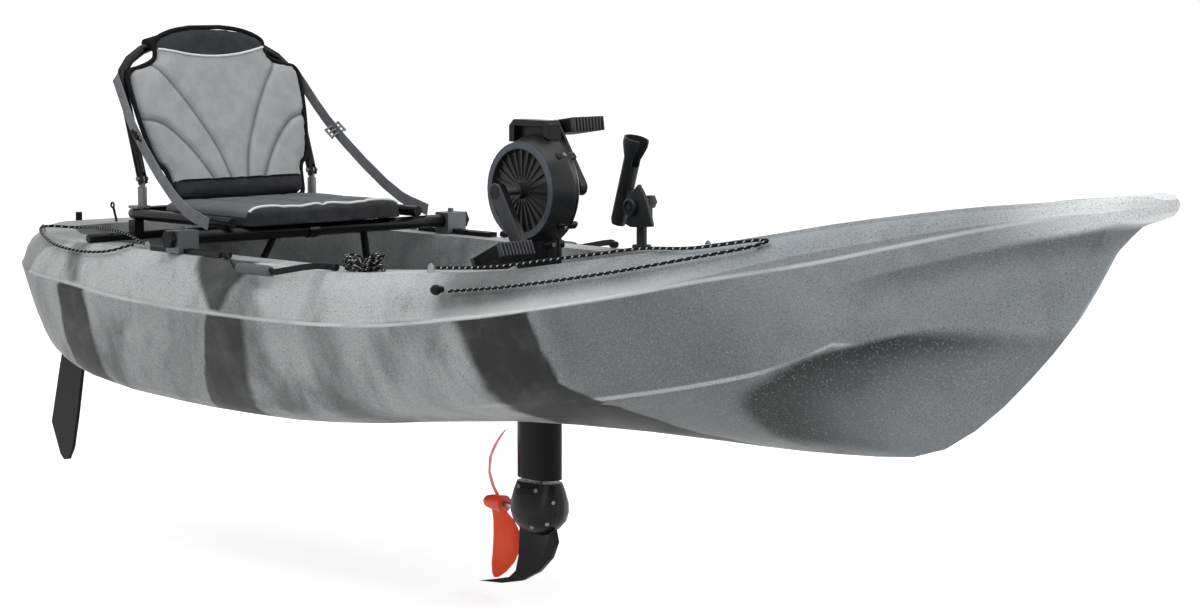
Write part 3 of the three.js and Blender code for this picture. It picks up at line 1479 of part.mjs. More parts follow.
// RIGGING
// A place on the hull's outside between the rub line (0) and the rim (1), lifted off it
function onShoulder(x, share, side, lift = cordLift) {
  const first = sideSteps + 2;
  const points = hullHalf(x).slice(first, first + shoulderSteps + 1);
  const place = share * (points.length - 1);
  const i = Math.min(Math.floor(place), points.length - 2);
  const [[y0, z0], [y1, z1]] = [points[i], points[i + 1]];
  const t = place - i;
  const length = Math.hypot(y1 - y0, z1 - z0);
  const [ny, nz] = [(z1 - z0) / length, -(y1 - y0) / length];
  return vec(x, side * (y0 + (y1 - y0) * t + ny * lift), z0 + (z1 - z0) * t + nz * lift);
}

// A place on the deck just inside the rim
function onRim(x, side, lift = cordLift) {
  const [y, z] = hullAt(x).rim;
  return vec(x, side * (y - rimRadius), z + lift);
}

// Each bow cord runs forward from its hook below the rim, round a stud and back along the rim
function bowCord(side) {
  const steps = 5;
  const startX = hookX + hookRadius * 1.6;
  const points = [];
  for (let i = 0; i <= steps; i += 1) {
    const share = THREE.MathUtils.lerp(cordShoulder, cordTurnShoulder, i / steps);
    points.push(onShoulder(THREE.MathUtils.lerp(startX, bowTurnX, i / steps), share, side));
  }
  points.push(onShoulder(bowTurnX + studRadius * 3, (cordTurnShoulder + cordBackShoulder) / 2, side));
  points.push(onShoulder(bowTurnX, cordBackShoulder, side));
  points.push(onShoulder((bowTurnX + bowRimX) / 2, (1 + cordBackShoulder) / 2, side));
  for (let i = steps; i >= 0; i -= 1) {
    points.push(onRim(THREE.MathUtils.lerp(bowCordEndX, bowRimX, i / steps), side));
  }
  return pipe(smooth(points, points.length * 2), bungeeRadius);
}

// A cord laced over one side of the stern: from the hook by the seat, round the stern eye
// and back outside the rim
function sternCord(side) {
  const level = gunwaleZ + cordLift;
  const overBar = gunwaleZ + rearBarRadius * 2 + bungeeRadius + gap * 4;
  const points = [
    vec(sternCordFrontX, side * railY, level),
    vec(sternCordFrontX - sternCordOver, side * (railY - overrun), overBar),
    vec(sternCordMiddleX, side * sternCordMiddleY, overBar),
    vec(sternCordRearX, side * sternCordInnerY, level),
    onRim(sternCordRearX - overrun, side, cordLift * 1.5),
    onShoulder((sternCordRearX + sternCordEyeX) / 2, 0.8, side),
    onShoulder(sternCordEyeX, 0.72, side),
    onShoulder((sternCordFrontX + sternCordEyeX) / 2, 0.86, side),
    onRim(sternCordFrontX - overrun, side).add(vec(0, side * bungeeRadius * 2, 0)),
  ];
  return pipe(smooth(points, points.length * 2), bungeeRadius);
}

// A short pull cord with an eye at its end, standing on the stern deck
function sternLoop() {
  const stem = pipe([vec(0, 0, 0), vec(-sternLoopRise * 0.4, 0, sternLoopRise)], bungeeRadius, smallSides);
  const eye = new THREE.TorusGeometry(bungeeRadius * 2, bungeeRadius * 0.8, ballRings, bandSides);
  eye.rotateX(Math.PI / 2);
  return join(stem, at(eye, -sternLoopRise * 0.5, 0, sternLoopRise * 1.15));
}

function deckHook() {
  const ball = new THREE.SphereGeometry(hookRadius * 0.8, ballSides, ballRings);
  const foot = cylinder(hookRadius * 0.5, hookRadius * 1.4, 'y', smallSides);
  return join(ball, at(foot, 0, hookRadius * 0.7, 0));
}

// A hank of cord in flat loops that wind in, climb a layer and wind out again
function ropeHank() {
  const points = [];
  const steps = 24;
  const layer = hankTurns * steps;
  const straight = (hankLength - hankWidth) / 2;
  for (let i = 0; i <= layer * hankLayers; i += 1) {
    const turn = i / steps;
    const depth = Math.floor(Math.min(i, layer * hankLayers - 1) / layer);
    const within = turn - depth * hankTurns;
    const inset = (depth % 2 === 0 ? within : hankTurns - within) * hankPitch;
    const radius = hankWidth / 2 - hankCord / 2 - inset;
    const climb = THREE.MathUtils.smoothstep(turn, hankTurns - 0.25, hankTurns + 0.25);
    const angle = 2 * Math.PI * turn;
    const cosine = Math.cos(angle);
    const x = cosine * radius + Math.sign(cosine) * straight * Math.min(1, Math.abs(cosine) * 3);
    points.push(vec(x, Math.sin(angle) * radius, climb * (hankCord + hankLayerGap) * (hankLayers - 1)));
  }
  console.log('rope_hank least gap to itself', leastGap(points, hankCord, steps).toFixed(2), 'mm');
  return pipe(points, hankCord / 2, 6);
}

function leastGap(points, diameter, steps) {
  let least = Infinity;
  for (let i = 0; i < points.length; i += 1) {
    for (let j = i + Math.floor(steps / 3); j < points.length; j += 1) {
      least = Math.min(least, points[i].distanceTo(points[j]));
    }
  }
  return least - diameter;
}

// ASSEMBLY
function hullGroup() {
  const group = new THREE.Group();
  piece(group, 'hull', hull(), 'hull');
  const railMiddle = (railRearX + railFrontX) / 2;
  const railZ = gunwaleZ + railHeight / 2 + gap;
  for (const [side, word] of [[-1, 'right'], [1, 'left']]) {
    piece(group, `seat_rail_${word}`, rail(), 'black', vec(railMiddle, side * railY, railZ));
    const turn = [0, 0, side > 0 ? Math.PI : 0];
    piece(group, `stern_cord_${word}`, sternCord(side), 'cord');
    const hookPlace = onShoulder(hookX, hookShoulder, side, hookRadius * 1.47);
    piece(group, `bow_hook_${word}`, deckHook(), 'black', hookPlace, turn);
    piece(group, `bow_cord_${word}`, bowCord(side), 'cord');
  }
  piece(group, 'stern_loop', sternLoop(), 'black', vec(sternLoopX, 0, gunwaleZ + gap * 4));
  const rimUnderHank = (end) => hullAt(hankX + (end * hankLength) / 2).rim[1];
  const [low, middle, high] = [-1, 0, 1].map(rimUnderHank);
  const rimBow = Math.max(0, middle - (low + high) / 2);
  const hankZ = (low + high) / 2 + rimBow + hankCord / 2 + gap * 2;
  const hankPlace = vec(hankX, -(cockpitHalf + rimRadius + hankWidth / 2), hankZ);
  piece(group, 'rope_hank', ropeHank(), 'cord', hankPlace, [0, -Math.atan2(high - low, hankLength), 0]);
  return group;
}

function carryGroup() {
  const group = new THREE.Group();
  for (const [side, word] of [[-1, 'right'], [1, 'left']]) {
    const place = vec(0, side * carryY, gunwaleZ + carryEye + gap);
    const strip = carryStrap(side);
    const grip = carryGrip();
    at(grip, gripX, side * carryBulge, -carryDrop);
    piece(group, `carry_grip_${word}`, cut(grip, carryStrapSpace(side)), 'grip', place);
    piece(group, `carry_strap_${word}`, strip, 'web', place);
  }
  return group;
}

// The room that the strap takes inside the grip
function carryStrapSpace(side) {
  const half = gripLength;
  const points = [-half, half].map((x) => vec(gripX + x, side * carryBulge, -carryDrop));
  return band(points, carryStrapWidth * 0.7 + gap * 3, carryStrapThickness + gap * 3,
    vec(0, side * carryDrop, carryBulge).normalize());
}

function seatGroup() {
  const group = new THREE.Group();
  piece(group, 'seat_front_bar', crossBar(), 'frame', vec(frontBarX, 0, barZ));
  piece(group, 'seat_rear_bar', rearBar(), 'frame', vec(rearBarX, 0, rearBarZ));
  piece(group, 'seat_base_frame', baseFrame(), 'frame');
  piece(group, 'seat_cushion', seatCushion(), 'cloth');
  for (const [side, word] of [[-1, 'right'], [1, 'left']]) {
    piece(group, `seat_clamp_${word}`, seatClamp(side), 'silver', vec(frontBarX, side * railY, 0));
    const knobY = side * (railY + clampWidth / 2 + gap);
    const turn = [side < 0 ? Math.PI / 2 : -Math.PI / 2, 0, 0];
    piece(group, `clamp_knob_${word}`, clampKnob(), 'black', vec(frontBarX, knobY, barZ), turn);
    piece(group, `back_hinge_${word}`, hingeBracket(side), 'frame', vec(backPivotX, 0, backPivotZ));
    piece(group, `back_strap_${word}`, strap(side), 'web');
    piece(group, `strap_buckle_${word}`, buckle(side), 'black');
  }
  const back = new THREE.Group();
  back.position.set(backPivotX, 0, backPivotZ);
  back.rotation.y = -degrees(backTilt);
  piece(back, 'back_frame', backFrame(), 'frame');
  piece(back, 'back_pad', backPad(), 'cloth');
  group.add(back);
  return group;
}

function crankGroup() {
  const group = new THREE.Group();
  group.position.set(0, 0, crankZ);
  piece(group, 'crank_axle', crankAxle(), 'steel');
  const halfPitch = Math.PI / crownTeeth;
  const crown = piece(group, 'crown_gear', crownGear(), 'steel', vec(0, 0, 0), [Math.PI / 2, 0, 0]);
  crown.rotateZ(halfPitch + Math.PI / 2);
  for (const [side, word, tilt] of [[-1, 'right', pedalNearTilt], [1, 'left', pedalFarTilt]]) {
    const swing = side < 0 ? degrees(90 - crankAngle) : degrees(270 - crankAngle);
    piece(group, `crank_arm_${word}`, crankArm(side), 'black', vec(0, side * crankArmY, 0), [0, swing, 0]);
    const eye = vec(crankLength, 0, 0).applyAxisAngle(vec(0, 1, 0), swing);
    const pedalY = side * (crankArmY + crankArmThickness / 2 + pedalStandoff + pedalWidth / 2);
    piece(group, `pedal_${word}`, pedal(), 'black', vec(eye.x, pedalY, eye.z), [0, degrees(tilt), 0]);
  }
  return group;
}

function shaftGroup() {
  const group = new THREE.Group();
  const rear = propX - propHubLength / 2 - gap * 2;
  piece(group, 'drive_shaft', driveShaft(), 'steel', vec(0, 0, crankZ));
  piece(group, 'lower_gear', lowerGear(), 'steel', vec(0, 0, propZ), [0, 0, Math.PI / lowerGearTeeth]);
  piece(group, 'prop_shaft', propShaft(), 'steel', vec(0, 0, propZ));
  piece(group, 'propeller', propeller(), 'red', vec(propX, 0, propZ));
  piece(group, 'prop_nut', propNut(), 'red', vec(rear - gap, 0, propZ));
  return group;
}

function driveGroup() {
  const group = new THREE.Group();
  group.position.set(driveX, 0, 0);
  const centre = vec(0, 0, crankZ);
  piece(group, 'housing_right', housing(-1), 'black', centre);
  piece(group, 'housing_left', housing(1), 'black', centre);
  piece(group, 'drive_handle', driveHandle(), 'black', centre);
  piece(group, 'leg_tube', legTube(), 'black');
  piece(group, 'drive_base', driveBase(), 'black');
  piece(group, 'base_screw', baseScrew(), 'black', vec(screwX, 0, footFloorZ + baseThickness + gap * 2));
  piece(group, 'gearbox_right', gearboxHalf(-1), 'black');
  piece(group, 'gearbox_left', gearboxHalf(1), 'black');
  piece(group, 'drive_fin', driveFin(), 'black');
  group.add(crankGroup(), shaftGroup());
  return group;
}

function rudderGroup() {
  const group = new THREE.Group();
  group.position.set(sternX - rudderStandoff, 0, 0);
  piece(group, 'rudder_bracket', rudderBracket(), 'black');
  piece(group, 'rudder_stock', rudderFork(), 'black');
  piece(group, 'rudder_blade', rudderBlade(), 'black', vec(0, 0, rudderPinZ));
  piece(group, 'rudder_pin', rudderPin(), 'steel', vec(0, 0, rudderPinZ));
  piece(group, 'rudder_tiller', tiller(), 'black', vec(0, 0, bracketHighZ + gap));
  return group;
}

function holderGroup() {
  const group = new THREE.Group();
  group.position.set(holderX, railY, hullAt(holderX + holderFlange).rim[1] + gap * 5);
  piece(group, 'holder_base', holderBase(), 'black');
  piece(group, 'holder_knuckle', holderKnuckle(), 'black');
  const pinZ = holderPostTop + gap + knuckleHeight - pinRadius * 2.6;
  piece(group, 'rod_cradle', rodCradle(), 'black', vec(0, 0, pinZ), [0, degrees(cradleTilt), 0]);
  const earOuter = knuckleRadius * 0.92 + gap * 2;
  piece(group, 'holder_knob', holderKnob(), 'black', vec(0, earOuter + gap, pinZ), [-Math.PI / 2, 0, 0]);
  return group;
}

const kayak = new THREE.Group();
kayak.add(hullGroup(), carryGroup(), seatGroup(), driveGroup(), rudderGroup(), holderGroup());

export default kayak;
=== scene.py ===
import json
import logging
import math
from dataclasses import dataclass, field
from enum import Enum
from functools import cache

import bmesh
import bpy
from mathutils import Matrix, Vector
from mathutils.bvhtree import BVHTree
from mathutils.kdtree import KDTree

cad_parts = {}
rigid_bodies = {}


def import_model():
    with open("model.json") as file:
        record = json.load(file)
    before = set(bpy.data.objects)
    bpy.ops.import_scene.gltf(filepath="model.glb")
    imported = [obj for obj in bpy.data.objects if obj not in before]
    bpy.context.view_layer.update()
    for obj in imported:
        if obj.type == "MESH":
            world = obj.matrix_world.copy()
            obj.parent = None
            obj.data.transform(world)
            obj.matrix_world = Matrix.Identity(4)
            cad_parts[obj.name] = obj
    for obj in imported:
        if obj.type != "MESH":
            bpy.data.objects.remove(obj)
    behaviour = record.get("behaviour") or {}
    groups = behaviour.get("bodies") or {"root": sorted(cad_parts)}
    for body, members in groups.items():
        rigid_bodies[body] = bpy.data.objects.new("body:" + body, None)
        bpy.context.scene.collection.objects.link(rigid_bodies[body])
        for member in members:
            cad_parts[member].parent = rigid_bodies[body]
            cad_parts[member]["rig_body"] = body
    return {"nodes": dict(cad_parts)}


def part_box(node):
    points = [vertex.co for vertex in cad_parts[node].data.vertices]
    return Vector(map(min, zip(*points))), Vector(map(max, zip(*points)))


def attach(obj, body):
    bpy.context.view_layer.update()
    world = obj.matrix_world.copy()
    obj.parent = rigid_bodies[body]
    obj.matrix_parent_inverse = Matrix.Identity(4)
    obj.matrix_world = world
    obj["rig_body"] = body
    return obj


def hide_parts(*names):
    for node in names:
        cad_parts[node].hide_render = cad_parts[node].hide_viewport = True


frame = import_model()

LOG = logging.getLogger("pedal_kayak")
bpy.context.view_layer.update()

Point = tuple[float, float, float]
Line = tuple[tuple[float, float], ...]
Colour = tuple[float, float, float, float]
Socket = bpy.types.NodeSocket
Piece = bpy.types.Object
Shape = bmesh.types.BMesh


class Side(Enum):
    """The two sides of the boat, seen from the stern."""

    RIGHT = -1
    LEFT = 1

    @property
    def word(self) -> str:
        """The side's word in the names of pieces."""
        return self.name.lower()


def tint(code: str) -> Colour:
    """Turns a colour written as six hex digits into linear values.

    Args:
        code: The colour, such as "8b9094".

    Returns:
        Red, green, blue and an alpha of 1.
    """
    shares = [int(code[i : i + 2], 16) / 255 for i in (0, 2, 4)]
    linear = [c / 12.92 if c <= 0.04045 else ((c + 0.055) / 1.055) ** 2.4 for c in shares]
    return (linear[0], linear[1], linear[2], 1.0)


def scaled(colour: Colour, share: float, lift: float = 0.0) -> Colour:
    """A colour made darker or lighter by a share, then lifted."""
    return tuple(min(1.0, c * share + lift) for c in colour[:3]) + (1.0,)


# Node trees


class Graph:
    """A short way to fill a node tree."""

    def __init__(self, tree: bpy.types.NodeTree) -> None:
        """Keeps the tree that the nodes go into."""
        self.tree = tree

    def add(self, kind: str, **settings: object) -> bpy.types.Node:
        """Adds a node.

        Args:
            kind: The node's type without its ShaderNode prefix.
            settings: Properties of the node.

        Returns:
            The new node.
        """
        node = self.tree.nodes.new("ShaderNode" + kind)
        for name, value in settings.items():
            setattr(node, name, value)
        return node

    def feed(self, socket: Socket, value: object) -> None:
        """Links a socket, or sets its value.

        Args:
            socket: The input.
            value: Another node's output, or a plain value.
        """
        if isinstance(value, Socket):
            self.tree.links.new(value, socket)
        else:
            socket.default_value = value

    def math(self, operation: str, *values: object) -> Socket:
        """Adds a Math node and returns its result."""
        node = self.add("Math", operation=operation)
        for socket, value in zip(node.inputs, values):
            self.feed(socket, value)
        return node.outputs[0]

    def mix(self, share: object, first: object, second: object) -> Socket:
        """Mixes two colours by a share and returns the colour."""
        node = self.add("Mix", data_type="RGBA")
        for index, value in zip((0, 6, 7), (share, first, second)):
            self.feed(node.inputs[index], value)
        return node.outputs[2]

    def over(self, colour: object, code: str, *shares: object) -> Socket:
        """Lays a colour over another.

        Args:
            colour: The colour below.
            code: The colour above, as six hex digits.
            shares: Masks and shares whose product tells how much of it shows.

        Returns:
            The mixed colour.
        """
        return self.mix(self.product(*shares), colour, tint(code))

    def ranged(self, value: object, low: float, high: float, to_low: float = 0.0,
               to_high: float = 1.0) -> Socket:
        """Maps a value smoothly from one range to another and holds it there."""
        node = self.add("MapRange", interpolation_type="SMOOTHSTEP")
        for socket, item in zip(node.inputs, (value, low, high, to_low, to_high)):
            self.feed(socket, item)
        return node.outputs[0]

    def curve(self, value: object, points: Line) -> Socket:
        """Draws a smooth line through points and reads its height at a value.

        Args:
            value: The place along the line.
            points: Places and heights, in rising order of place.

        Returns:
            The height.
        """
        places, heights = zip(*points)
        base, rise = min(heights), max(heights) - min(heights)
        along = self.add("MapRange", interpolation_type="LINEAR")
        for socket, item in zip(along.inputs, (value, places[0], places[-1], 0.0, 1.0)):
            self.feed(socket, item)
        node = self.add("FloatCurve")
        line = node.mapping.curves[0]
        spots = [((p - places[0]) / (places[-1] - places[0]), (h - base) / rise) for p, h in points]
        line.points[0].location = spots[0]
        line.points[-1].location = spots[-1]
        for spot in spots[1:-1]:
            line.points.new(*spot)
        node.mapping.update()
        self.feed(node.inputs["Value"], along.outputs[0])
        return self.math("MULTIPLY_ADD", node.outputs[0], rise, base)

    def product(self, *values: object) -> Socket:
        """Multiplies several values."""
        total = values[0]
        for value in values[1:]:
            total = self.math("MULTIPLY", total, value)
        return total

    def strongest(self, *values: object) -> Socket:
        """The greatest of several values."""
        total = values[0]
        for value in values[1:]:
            total = self.math("MAXIMUM", total, value)
        return total

    def noise(self, place: object, scale: float, detail: float = 3.0, rough: float = 0.5,
              bend: float = 0.0) -> Socket:
        """Adds a noise pattern and returns its value.

        Args:
            place: The coordinates.
            scale: Features to a metre.
            detail: Layers of finer noise.
            rough: Strength of the finer layers.
            bend: How far the pattern is warped.

        Returns:
            The noise, near 0 to 1.
        """
        node = self.add("TexNoise")
        inputs = {"Vector": place, "Scale": scale, "Detail": detail, "Roughness": rough, "Distortion": bend}
        for name, value in inputs.items():
            self.feed(node.inputs[name], value)
        return node.outputs["Fac"]

    def place(self, scale: Point = (1, 1, 1), turn: Point = (0, 0, 0),
              centre: Point = (0, 0, 0)) -> Socket:
        """Object coordinates, moved to a centre, turned back and scaled."""
        coords = self.add("TexCoord").outputs["Object"]
        if scale == (1, 1, 1) and turn == (0, 0, 0) and centre == (0, 0, 0):
            return coords
        node = self.add("Mapping", vector_type="TEXTURE")
        self.feed(node.inputs["Vector"], coords)
        node.inputs["Location"].default_value = centre
        node.inputs["Rotation"].default_value = turn
        node.inputs["Scale"].default_value = tuple(1 / s for s in scale)
        return node.outputs["Vector"]

    def axes(self, vector: object) -> tuple[Socket, ...]:
        """The three values of a vector."""
        node = self.add("SeparateXYZ")
        self.feed(node.inputs[0], vector)
        return tuple(node.outputs)

    def use(self, group: bpy.types.NodeTree, **values: object) -> bpy.types.Node:
        """Places a shared effect and sets its inputs.

        Args:
            group: The effect.
            values: Its inputs by name.

        Returns:
            The group's node.
        """
        node = self.add("Group", node_tree=group)
        for name, value in values.items():
            self.feed(node.inputs[name], value)
        return node


class Effects:
    """Effects that several materials share, each built once."""

    @staticmethod
    def group(name: str, inputs: dict[str, float], outputs: tuple[str, ...]) -> tuple[Graph, dict, dict]:
        """Starts a node group that takes a place and some numbers, and gives numbers.

        Args:
            name: The group's name.
            inputs: Starting values of its number inputs, by name.
            outputs: Names of its outputs.

        Returns:
            Its graph, the inputs' sockets and the outputs' sockets.
        """
        tree = bpy.data.node_groups.new(name, "ShaderNodeTree")
        tree.interface.new_socket("Place", in_out="INPUT", socket_type="NodeSocketVector")
        for socket, value in inputs.items():
            made = tree.interface.new_socket(socket, in_out="INPUT", socket_type="NodeSocketFloat")
            made.default_value = value
        for socket in outputs:
            tree.interface.new_socket(socket, in_out="OUTPUT", socket_type="NodeSocketFloat")
        source = tree.nodes.new("NodeGroupInput")
        sink = tree.nodes.new("NodeGroupOutput")
        return Graph(tree), {s.name: s for s in source.outputs}, {s.name: s for s in sink.inputs}

    @classmethod
    @cache
    def moulded_grain(cls) -> bpy.types.NodeTree:
        """Fine moulded texture with broad sheen changes."""
        graph, given, out = cls.group("moulded_grain", {"Grain": 900.0}, ("Height", "Sheen"))
        broad = graph.noise(given["Place"], 14.0, 3.0, 0.55)
        graph.feed(out["Height"], graph.noise(given["Place"], given["Grain"], 2.0, 0.6))
        graph.feed(out["Sheen"], graph.ranged(broad, 0.3, 0.7))
        return graph.tree

    @classmethod
    @cache
    def scuffs(cls) -> bpy.types.NodeTree:
        """Sparse fine scratches and rubbed spots."""
        graph, given, out = cls.group("scuffs", {"Amount": 0.5}, ("Mask",))
        stretched = graph.add("Mapping", vector_type="POINT")
        stretched.inputs["Scale"].default_value = (1.0, 1.0, 9.0)
        stretched.inputs["Rotation"].default_value = (0.5, 0.9, 0.2)
        graph.feed(stretched.inputs["Vector"], given["Place"])
        lines = graph.noise(stretched.outputs["Vector"], 130.0, 4.0, 0.7)
        patches = graph.noise(given["Place"], 9.0, 2.0, 0.5)
        sharp = graph.ranged(lines, 0.62, 0.7)
        graph.feed(out["Mask"], graph.product(sharp, graph.ranged(patches, 0.48, 0.62), given["Amount"]))
        return graph.tree

    @classmethod
    @cache
    def weave(cls) -> bpy.types.NodeTree:
        """Crossing threads in a plane: X and Y of the place given."""
        graph, given, out = cls.group("weave", {"Thread": 900.0}, ("Height", "Gaps"))
        turn = graph.product(given["Thread"], math.pi)
        waves = [graph.math("SINE", graph.product(axis, turn)) for axis in graph.axes(given["Place"])[:2]]
        level = graph.math("MULTIPLY_ADD", graph.product(*waves), 0.5, 0.5)
        graph.feed(out["Height"], level)
        graph.feed(out["Gaps"], graph.ranged(level, 0.62, 0.95))
        return graph.tree


# Finishes


@dataclass(frozen=True)
class Finish:
    """A finish: its name, colour and the plain values of its shader."""

    name: str
    colour: str = "808080"
    rough: float = 0.5
    metal: float = 0.0
    specular: float = 0.5

    def material(self) -> bpy.types.Material:
        """The finish's material, built the first time it is asked for."""
        known = bpy.data.materials.get(self.name)
        if known:
            return known
        made = bpy.data.materials.new(self.name)
        made.use_nodes = True
        made.node_tree.nodes.clear()
        graph = Graph(made.node_tree)
        shader = graph.add("BsdfPrincipled")
        output = graph.add("OutputMaterial")
        graph.feed(output.inputs["Surface"], shader.outputs[0])
        shader.inputs["Roughness"].default_value = self.rough
        shader.inputs["Metallic"].default_value = self.metal
        shader.inputs["Specular IOR Level"].default_value = self.specular
        self.dress(graph, shader)
        return made

    def dress(self, graph: Graph, shader: bpy.types.Node) -> None:
        """Fills in what varies over the surface."""
        shader.inputs["Base Color"].default_value = tint(self.colour)

    def bump(self, graph: Graph, shader: bpy.types.Node, height: object, depth: float,
             strength: float = 1.0) -> None:
        """Feeds a height to the shader's normal.

        Args:
            graph: The material's graph.
            shader: Its shader.
            height: The height, 0 to 1.
            depth: Full height in metres.
            strength: The bump's strength.
        """
        node = graph.add("Bump")
        graph.feed(node.inputs["Height"], height)
        node.inputs["Distance"].default_value = depth
        node.inputs["Strength"].default_value = strength
        graph.feed(shader.inputs["Normal"], node.outputs["Normal"])


@dataclass(frozen=True)
class MouldedPlastic(Finish):
    """Injection-moulded plastic with a fine grain and light scuffs."""

    grain: float = 1400.0
    depth: float = 0.00012
    worn: float = 0.35

    def dress(self, graph: Graph, shader: bpy.types.Node) -> None:
        """Grain, sheen changes and pale scuffs."""
        place = graph.place()
        grain = graph.use(Effects.moulded_grain(), Place=place, Grain=self.grain)
        scuffs = graph.use(Effects.scuffs(), Place=place, Amount=self.worn)
        base = tint(self.colour)
        sheen = grain.outputs["Sheen"]
        colour = graph.mix(sheen, base, scaled(base, 1.35, 0.002))
        colour = graph.mix(scuffs.outputs["Mask"], colour, scaled(base, 1.6, 0.03))
        rough = graph.ranged(sheen, 0, 1, self.rough - 0.05, self.rough + 0.08)
        graph.feed(shader.inputs["Base Color"], colour)
        graph.feed(shader.inputs["Roughness"], rough)
        self.bump(graph, shader, grain.outputs["Height"], self.depth)


@dataclass(frozen=True)
class CoatedTube(MouldedPlastic):
    """Powder-coated tube: satin, with an orange-peel surface."""

    grain: float = 700.0
    depth: float = 0.0001
    worn: float = 0.5


@dataclass(frozen=True)
class TurnedMetal(Finish):
    """Metal with fine tool marks."""

    def dress(self, graph: Graph, shader: bpy.types.Node) -> None:
        """Tool marks in roughness and height."""
        place = graph.place(scale=(1, 1, 14))
        marks = graph.noise(place, 260.0, 4.0, 0.65)
        base = tint(self.colour)
        colour = graph.mix(graph.ranged(marks, 0.35, 0.7), base, scaled(base, 0.78))
        rough = graph.ranged(marks, 0.3, 0.7, self.rough - 0.06, self.rough + 0.1)
        graph.feed(shader.inputs["Base Color"], colour)
        graph.feed(shader.inputs["Roughness"], rough)
        self.bump(graph, shader, marks, 0.00004)


@dataclass(frozen=True)
class Band:
    """A dark band in the hull's colour between two heights.

    Attributes:
        top: Height, rear edge and front edge at its top.
        foot: Height, rear edge and front edge at its foot.
        rear_blur: Half the width over which its rear edge fades.
        front_blur: Half the width over which its front edge fades.
        depth: Its strength.
    """

    top: Point
    foot: Point
    rear_blur: float = 0.008
    front_blur: float = 0.008
    depth: float = 1.0

    def mask(self, graph: Graph, x: object, z: object) -> Socket:
        """The band's strength at a place along and up the hull."""
        tall = self.top[0] - self.foot[0]
        sides = []
        for index in (1, 2):
            slope = (self.top[index] - self.foot[index]) / tall
            sides.append(graph.math("MULTIPLY_ADD", z, slope, self.foot[index] - slope * self.foot[0]))
        rear = graph.ranged(graph.math("SUBTRACT", x, sides[0]), -self.rear_blur, self.rear_blur)
        front = graph.ranged(graph.math("SUBTRACT", sides[1], x), -self.front_blur, self.front_blur)
        return graph.product(rear, front, self.depth)


